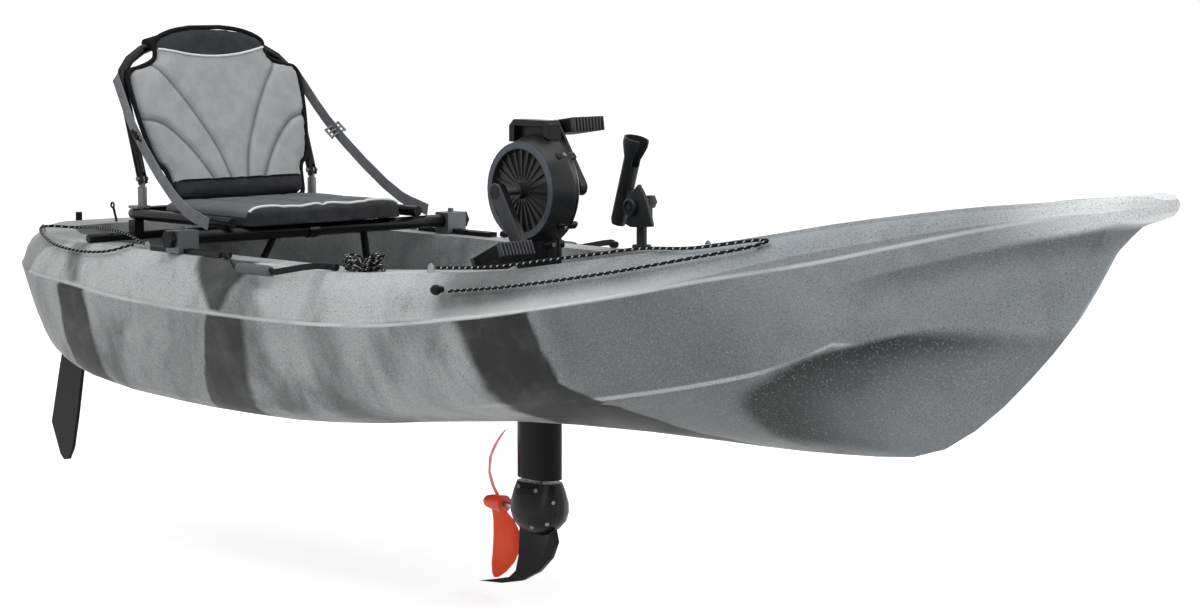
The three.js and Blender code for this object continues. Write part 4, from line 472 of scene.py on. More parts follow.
@dataclass(frozen=True)
class MottledHull(Finish):
    """Rotomoulded hull plastic: smoky greys with charcoal bands, speckled all over.

    Lines are places along the hull and heights, in metres. The recess is a height and a place.

    Attributes:
        well_half: Half width that holds all the wells.
        fore_well_half: The same at the bow well's front.
        well_floor: Height under all the wells.
        foredeck: Place ahead of all the wells.
    """

    pale: str = "a2a4a5"
    smoke: str = "828485"
    charcoal: str = "101112"
    # Colour of the painted highlights on the ledge and the bow's crease, and of the painted sheen over the
    # ledge.
    light: str = "d2d4d5"
    well_half: float = 0.368
    fore_well_half: float = 0.28
    well_floor: float = 0.118
    foredeck: float = 1.08
    ledge: Line = (
        (-1.1, 0.262), (-0.8, 0.243), (-0.59, 0.237), (-0.28, 0.217), (-0.01, 0.213), (0.38, 0.222),
        (0.75, 0.264), (0.96, 0.299), (1.14, 0.333), (1.29, 0.366), (1.48, 0.405), (1.62, 0.44),
        (1.78, 0.478), (2.03, 0.527))
    crease: Line = (
        (0.5, 0.07), (0.64, 0.082), (0.76, 0.098), (0.9, 0.115), (1.05, 0.141), (1.24, 0.182),
        (1.34, 0.211), (1.44, 0.258))
    recess: Line = (
        (0.03, 1.28), (0.066, 1.235), (0.11, 1.222), (0.144, 1.236), (0.187, 1.302), (0.232, 1.386),
        (0.259, 1.47), (0.289, 1.57), (0.31, 1.66))
    groove: Line = (
        (1.45, 0.352), (1.53, 0.379), (1.65, 0.414), (1.765, 0.443), (1.86, 0.463), (1.96, 0.485))
    side_bands: tuple[Band, ...] = (
        Band((0.24, -0.586, -0.474), (0.085, -0.594, -0.462), 0.007, 0.012),
        Band((0.21, -0.03, 0.092), (0.036, -0.07, 0.085), 0.006, 0.014, 0.92),
        Band((0.265, 0.765, 0.935), (0.16, 0.77, 0.94), 0.02, 0.007),
        Band((0.16, 0.77, 0.94), (0.09, 0.79, 1.04), 0.02, 0.01),
        Band((0.26, -1.08, -0.9), (0.1, -1.02, -0.86), 0.03, 0.05, 0.5),
        Band((0.2, 0.31, 0.4), (0.1, 0.34, 0.42), 0.05, 0.04, 0.35),
    )
    shoulder_bands: tuple[Band, ...] = (
        Band((0.31, -0.105, 0.07), (0.225, -0.03, 0.02), 0.014, 0.014, 0.9),
        Band((0.335, 0.665, 0.905), (0.26, 0.69, 0.87), 0.05, 0.06, 0.55),
        Band((0.32, -0.6, -0.53), (0.24, -0.56, -0.5), 0.02, 0.02, 0.55),
    )

    def outside(self, graph: Graph, place: object) -> Socket:
        """One on the hull's outside and nought in its wells."""
        x, y, z = graph.axes(place)
        half = graph.ranged(x, 0.6, 1.0, self.well_half, self.fore_well_half)
        wide = graph.math("GREATER_THAN", graph.math("ABSOLUTE", y), half)
        low = graph.math("LESS_THAN", z, self.well_floor)
        ahead = graph.math("GREATER_THAN", x, self.foredeck)
        return graph.strongest(wide, low, ahead)

    def over_ledge(self, graph: Graph, x: object, z: object) -> Socket:
        """Height over the ledge that runs along the side."""
        return graph.math("SUBTRACT", z, graph.curve(x, self.ledge))

    def dark(self, graph: Graph, place: object, wobble: object) -> Socket:
        """The charcoal bands of the side and the shoulder."""
        x, _, z = graph.axes(place)
        along = graph.math("ADD", x, graph.math("MULTIPLY_ADD", wobble, 0.05, -0.025))
        above = self.over_ledge(graph, x, z)
        side, shoulder = (graph.strongest(*(band.mask(graph, along, z) for band in bands))
                          for bands in (self.side_bands, self.shoulder_bands))
        side = graph.product(side, graph.ranged(above, 0.002, -0.003))
        shoulder = graph.product(shoulder, graph.ranged(above, 0.004, 0.012))
        return graph.product(graph.strongest(side, shoulder), self.outside(graph, place))

    def bow(self, graph: Graph, place: object, colour: object) -> Socket:
        """Tones of the bow: its dark recess, partly darker plastic and partly painted shade, the pale flare
        behind it with a painted highlight on its crease, painted shadow under the groove above and a
        painted highlight at the bow's point.
        """
        x, _, z = graph.axes(place)
        into = graph.math("SUBTRACT", x, graph.curve(z, self.recess))
        fade = graph.ranged(into, 0.03, 0.33, 1.0, 0.32)
        low = graph.product(graph.ranged(z, 0.305, 0.27), graph.ranged(z, 0.03, 0.075))
        # Partly darker plastic, partly painted shade in the bow's recess.
        hollow_shade = graph.product(graph.ranged(into, -0.012, 0.03), fade, low, graph.ranged(x, 1.95, 1.8))
        colour = graph.over(colour, "1d2120", hollow_shade, 0.94)
        under = graph.math("SUBTRACT", graph.curve(x, self.crease), z)
        behind = graph.product(graph.ranged(into, 0.0, -0.03), graph.ranged(x, 0.7, 1.0))
        colour = graph.over(colour, "7c7e7d", graph.ranged(under, 0.0, 0.012), behind, 0.25)
        # Painted highlight along the crease below the flare.
        edge = graph.ranged(graph.math("ABSOLUTE", under), 0.0055, 0.0015)
        edge = graph.product(edge, graph.ranged(x, 0.62, 0.9), graph.ranged(into, 0.02, -0.03))
        colour = graph.over(colour, self.light, edge, 0.6)
        # Painted shadow just below the groove, under the deck's flare.
        below = graph.math("SUBTRACT", graph.curve(x, self.groove), z)
        groove_shadow = graph.product(graph.ranged(below, -0.004, 0.004), graph.ranged(below, 0.05, 0.006))
        groove_shadow = graph.product(groove_shadow, graph.ranged(x, 1.45, 1.62), graph.ranged(x, 1.99, 1.93))
        colour = graph.over(colour, "3e4244", groove_shadow, 0.55)
        # Painted highlight on the upward-facing deck near the bow's point.
        tip_highlight = graph.product(graph.ranged(x, 1.72, 1.95), graph.ranged(below, 0.0, -0.01))
        return graph.over(colour, "eceeef", tip_highlight, 0.85)

    def clouds(self, graph: Graph, place: object, smears: object) -> Socket:
        """The smoky greys, with painted light on the upward-facing shoulder, and darker low down towards
        the bow.
        """
        x, _, z = graph.axes(place)
        broad = graph.noise(place, 3.1, 6.0, 0.62, 0.6)
        above = self.over_ledge(graph, x, z)
        colour = graph.mix(graph.ranged(broad, 0.36, 0.64), tint(self.smoke), tint(self.pale))
        # Painted light on the shoulder, which faces up.
        shoulder = graph.product(graph.ranged(above, 0.0, 0.012), graph.ranged(x, 1.0, 0.5))
        colour = graph.over(colour, "c6c8c9", shoulder, self.outside(graph, place), 0.55)
        colour = graph.over(colour, "8f9599", graph.ranged(x, 0.7, 1.3), 0.7)
        smoky = graph.product(graph.ranged(smears, 0.46, 0.72), graph.ranged(x, 1.1, 0.6, 0.3, 0.75))
        colour = graph.over(colour, "4f5152", smoky)
        under = graph.product(graph.ranged(above, 0.004, -0.004), graph.ranged(x, 0.88, 1.0))
        return graph.over(colour, "4a4f4f", under, graph.ranged(x, 1.5, 1.2), 0.62)

    def ledge_light(self, graph: Graph, place: object, colour: object, smears: object) -> Socket:
        """The painted highlight along the ledge, and the painted sheen that widens over it towards the bow.
        """
        x, _, z = graph.axes(place)
        above = self.over_ledge(graph, x, z)
        # Painted highlight: a bright line along the ledge.
        line = graph.ranged(graph.math("ABSOLUTE", graph.math("SUBTRACT", above, 0.002)), 0.005, 0.001)
        line = graph.product(line, self.outside(graph, place), graph.ranged(smears, 0.3, 0.6, 0.35, 0.9))
        colour = graph.over(colour, self.light, line, graph.ranged(x, 0.1, 0.6, 0.5, 0.9))
        glare = graph.product(graph.ranged(above, 0.0, 0.006), graph.ranged(above, 0.034, 0.008))
        glare = graph.product(glare, graph.ranged(x, 0.5, 0.9), graph.ranged(x, 1.4, 1.1))
        return graph.over(colour, self.light, glare, 0.5)

    def dress(self, graph: Graph, shader: bpy.types.Node) -> None:
        """Colour clouds, bands, speckle and the grained skin."""
        place = graph.place()
        flattened = graph.place(scale=(1.0, 1.0, 0.6))
        smears = graph.noise(flattened, 6.5, 5.0, 0.6, 0.3)
        wobble = graph.noise(flattened, 11.0, 5.0, 0.6)
        fine = graph.noise(place, 430.0, 2.0, 0.75)
        coarse = graph.noise(place, 260.0, 2.0, 0.7)
        colour = self.bow(graph, place, self.clouds(graph, place, smears))
        colour = graph.over(colour, "303234", graph.ranged(fine, 0.52, 0.63), 0.55)
        colour = graph.over(colour, "c9cbcc", graph.ranged(coarse, 0.56, 0.68), 0.22)
        marbled = graph.ranged(graph.noise(place, 14.0, 5.0, 0.6, 0.2), 0.42, 0.68, 1.0, 0.9)
        colour = graph.over(colour, self.charcoal, self.dark(graph, place, wobble), marbled)
        graph.feed(shader.inputs["Base Color"], self.ledge_light(graph, place, colour, smears))
        rough = graph.ranged(smears, 0.3, 0.7, self.rough - 0.05, self.rough + 0.06)
        graph.feed(shader.inputs["Roughness"], rough)
        dimples = graph.noise(place, 90.0, 3.0, 0.6)
        skin = graph.math("ADD", graph.product(fine, 0.4), graph.product(dimples, 0.6))
        self.bump(graph, shader, skin, 0.0006, 0.5)


@dataclass(frozen=True)
class RingedHousing(MouldedPlastic):
    """The drive's housing plastic, with a painted bluish highlight ring on its near face.

    Attributes:
        ring: The painted highlight's colour.
        middle: Where its centre lies.
        inner: Its inner radius.
        outer: Its outer radius.
        face: How far from the middle plane the ring starts, to the right.
    """

    ring: str = "454c54"
    middle: Point = (0.5, 0.0, 0.47)
    inner: float = 0.0835
    outer: float = 0.0985
    face: float = 0.0505

    def dress(self, graph: Graph, shader: bpy.types.Node) -> None:
        """The housing's plastic with the painted highlight ring over it."""
        super().dress(graph, shader)
        x, y, z = graph.axes(graph.place(centre=self.middle))
        reach = graph.math("SQRT", graph.math("ADD", graph.product(x, x), graph.product(z, z)))
        # Painted highlight: a bluish ring standing in for the light on the face's rounded rim.
        on_highlight_ring = graph.product(graph.math("GREATER_THAN", reach, self.inner),
                                graph.math("LESS_THAN", reach, self.outer),
                                graph.math("LESS_THAN", y, -self.face))
        below = shader.inputs["Base Color"].links[0].from_socket
        graph.feed(shader.inputs["Base Color"], graph.over(below, self.ring, on_highlight_ring))


@dataclass(frozen=True)
class Webbing(Finish):
    """Woven strap with shaded gaps between its threads.

    Attributes:
        thread: Threads to a metre.
        patches: Worn patches to a metre.
        wear: How much lighter the worn patches are.
        gaps: How strongly the gaps are shaded.
        depth: Height of a thread.
        relief: Strength of the threads' relief.
    """

    thread: float = 520.0
    patches: float = 30.0
    wear: float = 1.25
    gaps: float = 0.6
    depth: float = 0.0004
    relief: float = 0.7

    def woven(self, graph: Graph, shader: bpy.types.Node, local: object,
              plane: object) -> tuple[Socket, Socket]:
        """The threads' colour and relief.

        Args:
            graph: The material's graph.
            shader: Its shader.
            local: The place that the worn patches follow.
            plane: The place whose X and Y the threads follow.

        Returns:
            The colour and the pattern of the worn patches.
        """
        weave = graph.use(Effects.weave(), Place=plane, Thread=self.thread)
        soft = graph.noise(local, self.patches, 4.0, 0.6)
        base = tint(self.colour)
        colour = graph.mix(graph.ranged(soft, 0.35, 0.65), base, scaled(base, self.wear))
        shaded = graph.product(weave.outputs["Gaps"], self.gaps)
        self.bump(graph, shader, weave.outputs["Height"], self.depth, self.relief)
        return graph.mix(shaded, colour, scaled(base, 0.5)), soft

    def dress(self, graph: Graph, shader: bpy.types.Node) -> None:
        """The weave and its worn colour."""
        local = graph.place(turn=(0.3, 0.75, 0.1))
        graph.feed(shader.inputs["Base Color"], self.woven(graph, shader, local, local)[0])


@dataclass(frozen=True)
class MeshCloth(Webbing):
    """Spacer-mesh cover: woven cells over foam, with darker panels of plain cloth.

    Attributes:
        dark: Colour of the darker panels.
        centre: Where the pattern is centred.
        turn: How the pattern is turned.
        upright: Whether it covers the back and not the base.
        top_seam: Height of the back's top seam on the centreline.
        top_bow: How strongly that seam curves.
        hem: Height of the back's lower seam.
    """

    thread: float = 380.0
    patches: float = 22.0
    wear: float = 1.18
    gaps: float = 0.65
    depth: float = 0.0005
    relief: float = 0.6
    dark: str = "242527"
    centre: Point = (0, 0, 0)
    turn: Point = (0, 0, 0)
    upright: bool = False
    top_seam: float = 0.2605
    top_bow: float = 1.1
    hem: float = -0.02

    def panels(self, graph: Graph, local: object) -> Socket:
        """Where the darker panels are."""
        x, y, z = graph.axes(local)
        if not self.upright:
            return graph.strongest(graph.math("LESS_THAN", z, 0.386), graph.math("GREATER_THAN", x, -0.192))
        seam = graph.math("MULTIPLY_ADD", graph.product(y, y), self.top_bow, self.top_seam)
        return graph.strongest(graph.math("GREATER_THAN", graph.math("SUBTRACT", z, seam), 0.0),
                               graph.math("LESS_THAN", z, self.hem), graph.math("LESS_THAN", x, 0.019))

    def dress(self, graph: Graph, shader: bpy.types.Node) -> None:
        """The weave, its sewn channels and the dark panels."""
        local = graph.place(turn=self.turn, centre=self.centre)
        x, y, z = graph.axes(local)
        plane = graph.add("CombineXYZ")
        graph.feed(plane.inputs[0], y)
        graph.feed(plane.inputs[1], z if self.upright else x)
        colour, soft = self.woven(graph, shader, local, plane.outputs[0])
        # Painted shade: a dark line along each sewn channel, where shade falls in its crease.
        seams = graph.add("Attribute", attribute_name="seam")
        colour = graph.over(colour, "35363a", seams.outputs["Fac"], 0.8)
        panel = graph.mix(graph.ranged(soft, 0.3, 0.7), tint(self.dark), tint("313235"))
        graph.feed(shader.inputs["Base Color"], graph.mix(self.panels(graph, local), colour, panel))


@dataclass(frozen=True)
class FleckedCord(Finish):
    """Braided cord with a pale tracer that shows once in each turn of the braid.

    Attributes:
        fleck: The tracer's colour.
        pitch: Length of one turn of the tracer.
        strand: Length of one turn of a strand.
    """

    fleck: str = "c4c6c7"
    pitch: float = 0.017
    strand: float = 0.004

    def dress(self, graph: Graph, shader: bpy.types.Node) -> None:
        """Braid relief and pale flecks, along the cord's own length."""
        along, around = (graph.add("Attribute", attribute_name=name).outputs["Fac"]
                         for name in ("along", "around"))

        def wound(length: float, turns: float) -> Socket:
            """A wave that winds round the cord."""
            run = graph.product(along, 2 * math.pi / length)
            return graph.math("SINE", graph.math("ADD", run, graph.product(around, turns)))

        strands = graph.product(wound(self.strand, 4.0), wound(self.strand, -4.0))
        braid = graph.math("MULTIPLY_ADD", strands, 0.5, 0.5)
        facing = graph.math("GREATER_THAN", graph.math("SINE", graph.product(around, 3.0)), -0.3)
        flecks = graph.product(graph.math("GREATER_THAN", wound(self.pitch, 1.0), 0.82), facing)
        # Painted shade: the cord darkens where the strands dip between each other.
        base = graph.mix(braid, tint("0b0b0c"), tint(self.colour))
        graph.feed(shader.inputs["Base Color"], graph.over(base, self.fleck, flecks))
        self.bump(graph, shader, braid, 0.0004, 0.8)


@dataclass(frozen=True)
class RibbedGrip(MouldedPlastic):
    """Soft grip with rings pressed into it, a pitch apart."""

    pitch: float = 0.006

    def dress(self, graph: Graph, shader: bpy.types.Node) -> None:
        """Rings across the grip's length."""
        super().dress(graph, shader)
        rings = graph.math("SINE", graph.product(graph.axes(graph.place())[0], 2 * math.pi / self.pitch))
        self.bump(graph, shader, graph.math("MULTIPLY_ADD", rings, 0.5, 0.5), 0.0008)


HULL = MottledHull("hull_plastic", rough=0.5, specular=0.22)
BLACK = MouldedPlastic("black_plastic", "08090b", 0.42, specular=0.12)
DRIVE_BLACK = MouldedPlastic("drive_plastic", "090a0c", 0.26, specular=0.2, worn=0.12)
HOUSING = RingedHousing("ringed_housing", "1b1c1e", 0.24, specular=0.3, worn=0.12)
ARM = MouldedPlastic("arm_plastic", "1e1f22", 0.3, specular=0.35, worn=0.5)
PEDAL_TREAD = MouldedPlastic("pedal_tread", "34363a", 0.35, specular=0.3, worn=0.5)
STEEL_DARK = TurnedMetal("screw_steel", "8f9296", 0.35, 0.9)
LEG = MouldedPlastic("leg_coating", "050404", 0.18, specular=0.09, worn=0.1)
BLADE_BLACK = MouldedPlastic("blade_plastic", "050506", 0.24, specular=0.12, worn=0.12)
TUBE = CoatedTube("coated_tube", "070809", 0.28, specular=0.16)
CASTING = TurnedMetal("clamp_metal", "5f6266", 0.4, 0.6)
FERRULE = TurnedMetal("ferrule_metal", "6b6d70", 0.38, 0.7)
STEEL = TurnedMetal("gear_steel", "b4b7bb", 0.3, 1.0)
WEB = Webbing("grey_webbing", "6a6c6f", 0.82, specular=0.2)
DARK_WEB = Webbing("dark_webbing", "1b1c1e", 0.8, specular=0.15)
CORD = FleckedCord("flecked_cord", "131415", 0.75, specular=0.12)
GRIP = RibbedGrip("handle_grip", "55575a", 0.7, specular=0.2)
HOLDER_BLACK = MouldedPlastic("holder_plastic", "1c1e20", 0.38, specular=0.25, worn=0.5)
RED = MouldedPlastic("propeller_plastic", "f04a26", 0.34, specular=0.35, worn=0.1)
SEAT_CLOTH = MeshCloth("seat_cloth", "595b5e", 0.85, specular=0.2)
BACK_CLOTH = MeshCloth("back_cloth", "949697", 0.85, specular=0.2, centre=(-0.533, 0.0, 0.452),
                       turn=(0.0, -math.radians(19), 0.0), upright=True)
BINDING = Webbing("edge_binding", "0f1012", 0.8, specular=0.12)
PIPING = Finish("seam_piping", "d4d5d6", 0.7, specular=0.3)


# The photograph's view


@dataclass(frozen=True)
class View:
    """The photograph's camera, and rays through its pixels.

    Attributes:
        eye: Where the camera stands.
        heading: Its turn from the stern's direction.
        pitch: How far it looks down.
        focus: Its focal length in pixels of the photograph.
        size: The photograph's width and height in pixels.
    """

    eye: Point = (4.9623, -3.9927, 0.8840)
    heading: float = math.radians(42.972)
    pitch: float = math.radians(6.161)
    focus: float = 3038.86
    size: tuple[int, int] = (1200, 613)

    def axes(self) -> tuple[Vector, Vector, Vector]:
        """The camera's right, up and forward directions."""
        a, p = self.heading, self.pitch
        forward = Vector((-math.cos(a) * math.cos(p), math.sin(a) * math.cos(p), -math.sin(p)))
        right = Vector((math.sin(a), math.cos(a), 0))
        return right, right.cross(forward), forward

    def on(self, node: str, pixel: tuple[float, float]) -> tuple[Vector, Vector]:
        """Where a pixel of the photograph falls on a CAD solid.

        Args:
            node: The solid.
            pixel: The pixel, from the photograph's upper left corner.

        Returns:
            The place and the surface's normal.
        """
        shape = bmesh.new()
        shape.from_mesh(frame["nodes"][node].data)
        tree = BVHTree.FromBMesh(shape)
        shape.free()
        right, up, forward = self.axes()
        across, down = ((p - s / 2) / self.focus for p, s in zip(pixel, self.size))
        ray = (forward + right * across - up * down).normalized()
        eye = Vector(self.eye)
        place, normal, _, _ = tree.ray_cast(eye, ray, 30.0)
        if place is None:
            amidships = Vector((0.5, 0, 0.3)) - eye
            place, normal, _, _ = tree.find_nearest(eye + ray * amidships.dot(ray))
        return place, normal


# Making pieces


def turned_to(place: Vector, normal: Vector) -> Matrix:
    """A matrix that puts a shape at a place, its Z along a normal."""
    return Matrix.Translation(place) @ normal.to_track_quat("Z", "X").to_matrix().to_4x4()


def meshed(shape: Shape, name: str) -> bpy.types.Mesh:
    """Turns a bmesh into a mesh and frees it."""
    mesh = bpy.data.meshes.new(name)
    shape.to_mesh(mesh)
    shape.free()
    return mesh


def made_of(shape: Shape, name: str, finish: Finish, body: str) -> Piece:
    """Makes a piece from a finished bmesh.

    Args:
        shape: The bmesh, which is freed.
        name: The piece's name.
        finish: Its finish.
        body: The body that it rides on.

    Returns:
        The piece.
    """
    bmesh.ops.recalc_face_normals(shape, faces=shape.faces)
    mesh = meshed(shape, name)
    smooth(mesh)
    piece = link(name, mesh, finish, body)
    return piece


def rounded(shape: Shape, edges: list[bmesh.types.BMEdge], width: float, segments: int = 3) -> None:
    """Rounds edges of a bmesh over a width."""
    bmesh.ops.bevel(shape, geom=edges, offset=width, segments=segments, profile=0.5, affect="EDGES",
                    material=-1)


def block(shape: Shape, place: Matrix, size: Point, edge: float, segments: int = 3) -> None:
    """Adds a box with rounded edges to a bmesh.

    Args:
        shape: The bmesh.
        place: Where the box goes.
        size: Its sides.
        edge: The rounding's width.
        segments: Faces across the rounding.
    """
    made = bmesh.ops.create_cube(shape, size=1.0, matrix=place @ Matrix.Diagonal((*size, 1)))
    rounded(shape, list({e for v in made["verts"] for e in v.link_edges}), edge, segments)


def slab(outline: list[Vector], depth: Vector, edge: float = 0.0, segments: int = 3) -> Shape:
    """Makes a plate from an outline.

    Args:
        outline: The outline's points.
        depth: How far and which way it is extruded.
        edge: The rounding's width, nought for none.
        segments: Faces across the rounding.

    Returns:
        The plate.
    """
    shape = bmesh.new()
    face = shape.faces.new([shape.verts.new(p) for p in outline])
    grown = bmesh.ops.extrude_face_region(shape, geom=[face])
    moved = [g for g in grown["geom"] if isinstance(g, bmesh.types.BMVert)]
    bmesh.ops.translate(shape, verts=moved, vec=depth)
    bmesh.ops.recalc_face_normals(shape, faces=shape.faces)
    if edge:
        sharp = [e for e in shape.edges if e.is_manifold and e.calc_face_angle() > math.radians(50)]
        rounded(shape, sharp, edge, segments)
    return shape


def turned(shape: Shape, profile: Line, place: Matrix, steps: int = 28) -> None:
    """Spins a profile of radii and heights round Z into a bmesh, closed at both ends.

    Args:
        shape: The bmesh.
        profile: Radii and heights, from the axis back to the axis.
        place: Where the turned shape goes.
        steps: Faces round it.
    """
    lathe = bmesh.new()
    points = [lathe.verts.new((radius, 0, height)) for radius, height in profile]
    edges = [lathe.edges.new(pair) for pair in zip(points, points[1:])]
    bmesh.ops.spin(lathe, geom=points + edges, cent=(0, 0, 0), axis=(0, 0, 1), angle=2 * math.pi,
                   steps=steps, use_merge=True)
    bmesh.ops.remove_doubles(lathe, verts=lathe.verts, dist=1e-6)
    bmesh.ops.transform(lathe, matrix=place, verts=lathe.verts)
    mesh = meshed(lathe, "turned")
    shape.from_mesh(mesh)
    bpy.data.meshes.remove(mesh)


def link(name: str, mesh: bpy.types.Mesh, finish: Finish, body: str) -> Piece:
    """Makes a piece from a mesh in the row frame.

    Args:
        name: The piece's name.
        mesh: Its mesh.
        finish: Its finish.
        body: The body that it rides on.

    Returns:
        The piece.
    """
    piece = bpy.data.objects.new(name, mesh)
    bpy.context.scene.collection.objects.link(piece)
    mesh.materials.clear()
    mesh.materials.append(finish.material())
    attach(piece, body)
    LOG.info("%s: %d faces on %s", name, len(mesh.polygons), body)
    return piece


def merged(node: str) -> bpy.types.Mesh:
    """A copy of a CAD solid with its corners merged and its flat faces whole."""
    mesh = frame["nodes"][node].data.copy()
    shape = bmesh.new()
    shape.from_mesh(mesh)
    bmesh.ops.remove_doubles(shape, verts=shape.verts, dist=4e-6)
    bmesh.ops.dissolve_limit(shape, angle_limit=math.radians(0.4), verts=shape.verts, edges=shape.edges)
    shape.to_mesh(mesh)
    shape.free()
    return mesh


def smooth(mesh: bpy.types.Mesh, angle: float = 38.0) -> None:
    """Shades a mesh smooth, with its corners past an angle kept sharp."""
    for polygon in mesh.polygons:
        polygon.use_smooth = True
    mesh.set_sharp_from_angle(angle=math.radians(angle))


def eased(node: str, finish: Finish, edge: float = 0.0008, angle: float = 38.0, levels: int = 0) -> Piece:
    """Stands a CAD solid's copy in for it, with its edges rounded.

    Args:
        node: The solid.
        finish: The finish.
        edge: The rounding's width.
        angle: Corners past this angle are rounded.
        levels: Rounds of subdivision, for cords and tubes.

    Returns:
        The piece.
    """
    source = frame["nodes"][node]
    mesh = merged(node)
    smooth(mesh, angle)
    piece = link(node + "_finished", mesh, finish, source["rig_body"])
    if levels:
        rounds = piece.modifiers.new("rounds", "SUBSURF")
        rounds.levels = rounds.render_levels = levels
    elif edge:
        bevel = piece.modifiers.new("eased_edges", "BEVEL")
        bevel.width = edge
        bevel.segments = 2
        bevel.limit_method = "ANGLE"
        bevel.angle_limit = math.radians(angle)
        bevel.harden_normals = True
    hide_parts(node)
    return piece


def tube(name: str, points: list[Vector], radius: float, finish: Finish, body: str, closed: bool = False,
         sides: int = 3) -> Piece:
    """Makes a round line through points.

    Args:
        name: The piece's name.
        points: The line, in the row frame.
        radius: Its radius.
        finish: Its finish.
        body: The body that it rides on.
        closed: Whether the line joins its own start.
        sides: The bevel's resolution.

    Returns:
        The piece, a mesh.
    """
    curve = bpy.data.curves.new(name + "_line", "CURVE")
    curve.dimensions = "3D"
    curve.bevel_depth = radius
    curve.bevel_resolution = sides
    curve.use_fill_caps = not closed
    spline = curve.splines.new("POLY")
    spline.points.add(len(points) - 1)
    for point, place in zip(spline.points, points):
        point.co = (*place, 1.0)
    spline.use_cyclic_u = closed
    holder = bpy.data.objects.new(name + "_line", curve)
    bpy.context.scene.collection.objects.link(holder)
    bpy.context.view_layer.update()
    mesh = bpy.data.meshes.new_from_object(holder.evaluated_get(bpy.context.evaluated_depsgraph_get()))
    bpy.data.objects.remove(holder)
    for polygon in mesh.polygons:
        polygon.use_smooth = True
    return link(name, mesh, finish, body)


def measured(piece: Piece, path: list[Vector]) -> float:
    """Notes on a cord's mesh how far along and around it each point lies.

    Args:
        piece: The cord's tube.
        path: The line down its middle.

    Returns:
        The line's length.
    """
    tree = KDTree(len(path))
    run = [0.0]
    for index, place in enumerate(path):
        tree.insert(place, index)
        if index:
            run.append(run[-1] + (place - path[index - 1]).length)
    tree.balance()
    along = piece.data.attributes.new("along", "FLOAT", "POINT")
    around = piece.data.attributes.new("around", "FLOAT", "POINT")
    for vertex in piece.data.vertices:
        place, index, _ = tree.find(vertex.co)
        ahead = (path[min(index + 1, len(path) - 1)] - path[max(index - 1, 0)]).normalized()
        away = vertex.co - place
        side = ahead.cross(Vector((0, 0, 1))).normalized()
        along.data[vertex.index].value = run[index] + away.dot(ahead)
        around.data[vertex.index].value = math.atan2(away.dot(side), away.dot(side.cross(ahead)))
    return run[-1]


def spread(half: float, steps: int) -> list[float]:
    """Even steps from the negative of a value to that value."""
    return [-half + 2 * half * k / steps for k in range(steps + 1)]


def curved(points: list[Vector], steps: int) -> list[Vector]:
    """A centripetal Catmull-Rom curve through points."""
    path = []
    ends = [points[0] * 2 - points[1], *points, points[-1] * 2 - points[-2]]
    for i in range(1, len(ends) - 2):
        a, b, c, d = ends[i - 1 : i + 3]
        before, across, after = (max((q - p).length, 1e-5) ** 0.5 for p, q in ((a, b), (b, c), (c, d)))
        leave = (c - b) + ((b - a) / before - (c - a) / (before + across)) * across
        arrive = (c - b) + ((d - c) / after - (d - b) / (across + after)) * across
        for k in range(steps):
            t = k / steps
            path.append(b * (2 * t ** 3 - 3 * t * t + 1) + leave * (t ** 3 - 2 * t * t + t)
                        + c * (3 * t * t - 2 * t ** 3) + arrive * (t ** 3 - t * t))
    path.append(points[-1])
    return path


# Sub-assemblies


@dataclass
class Cord:
    """A cord of one side of the deck, held at both ends.

    Attributes:
        node: The CAD solid that it stands for.
        route: The points that it passes, on the right side.
        side: The side that it lies on.
        thick: Its diameter.
    """

    node: str
    route: tuple[Point, ...]
    side: Side
    thick: float = 0.006

    def build(self) -> Piece:
        mirror = Vector((1, -self.side.value, 1))
        path = curved([Vector(p) * mirror for p in self.route], 8)
        name = f"{self.node}_{self.side.word}"
        piece = tube(name + "_laid", path, self.thick / 2, CORD, "boat")
        length = measured(piece, path)
        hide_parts(name)
        return piece


@dataclass
class Hank:
    """A spare rope on the rim: long loops, bound round their middle.

    Attributes:
        middle: Where the hank lies.
        half_length: From its middle to the end of a loop.
        half_width: Half its width over the loops.
        tall: Its height over the loops.
        loops: How many loops it has.
        wraps: Turns of the binding.
        thick: The rope's diameter.
    """

    middle: Vector = field(default_factory=lambda: Vector((0.3972, -0.3605, 0.3236)))
    half_length: float = 0.058
    half_width: float = 0.02
    tall: float = 0.03
    loops: int = 9
    wraps: int = 4
    thick: float = 0.0052

    def path(self) -> list[Vector]:
        """The rope's line: loop on loop, then round the waist."""
        points = []
        steps = 28
        for i in range(self.loops * steps):
            turn = i / steps
            angle = 2 * math.pi * turn
            lay = turn / self.loops
            reach = self.half_length * (0.86 + 0.14 * math.sin(2.4 * turn + 1))
            x = reach * math.copysign(abs(math.cos(angle)) ** 0.8, math.cos(angle))
            pinch = 0.42 + 0.58 * min(1.0, abs(x) / (0.6 * self.half_length))
            wide = self.half_width * (0.55 + 0.45 * math.cos(3.1 * turn))
            y = math.sin(angle) * max(abs(wide), self.thick) * pinch + 0.002 * math.sin(1.7 * turn)
            z = lay * self.tall * pinch + 0.002 * math.sin(angle * 2 + turn) + self.thick * 0.4
            points.append(Vector((x, y, z)))
        for i in range(self.wraps * 16 + 1):
            angle = 2 * math.pi * i / 16
            x = self.thick * (i / 16 - self.wraps / 2)
            points.append(Vector((x, 0.0125 * math.cos(angle), 0.011 + 0.0135 * math.sin(angle))))
        rise = math.radians(3.2)
        turned = Matrix.Rotation(-rise, 3, "Y")
        return [self.middle + turned @ p for p in points]

    def build(self) -> Piece:
        """Winds the hank."""
        path = curved(self.path(), 3)
        piece = tube("rope_hank_wound", path, self.thick / 2, CORD, "boat", sides=2)
        length = measured(piece, path)
        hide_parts("rope_hank")
        return piece


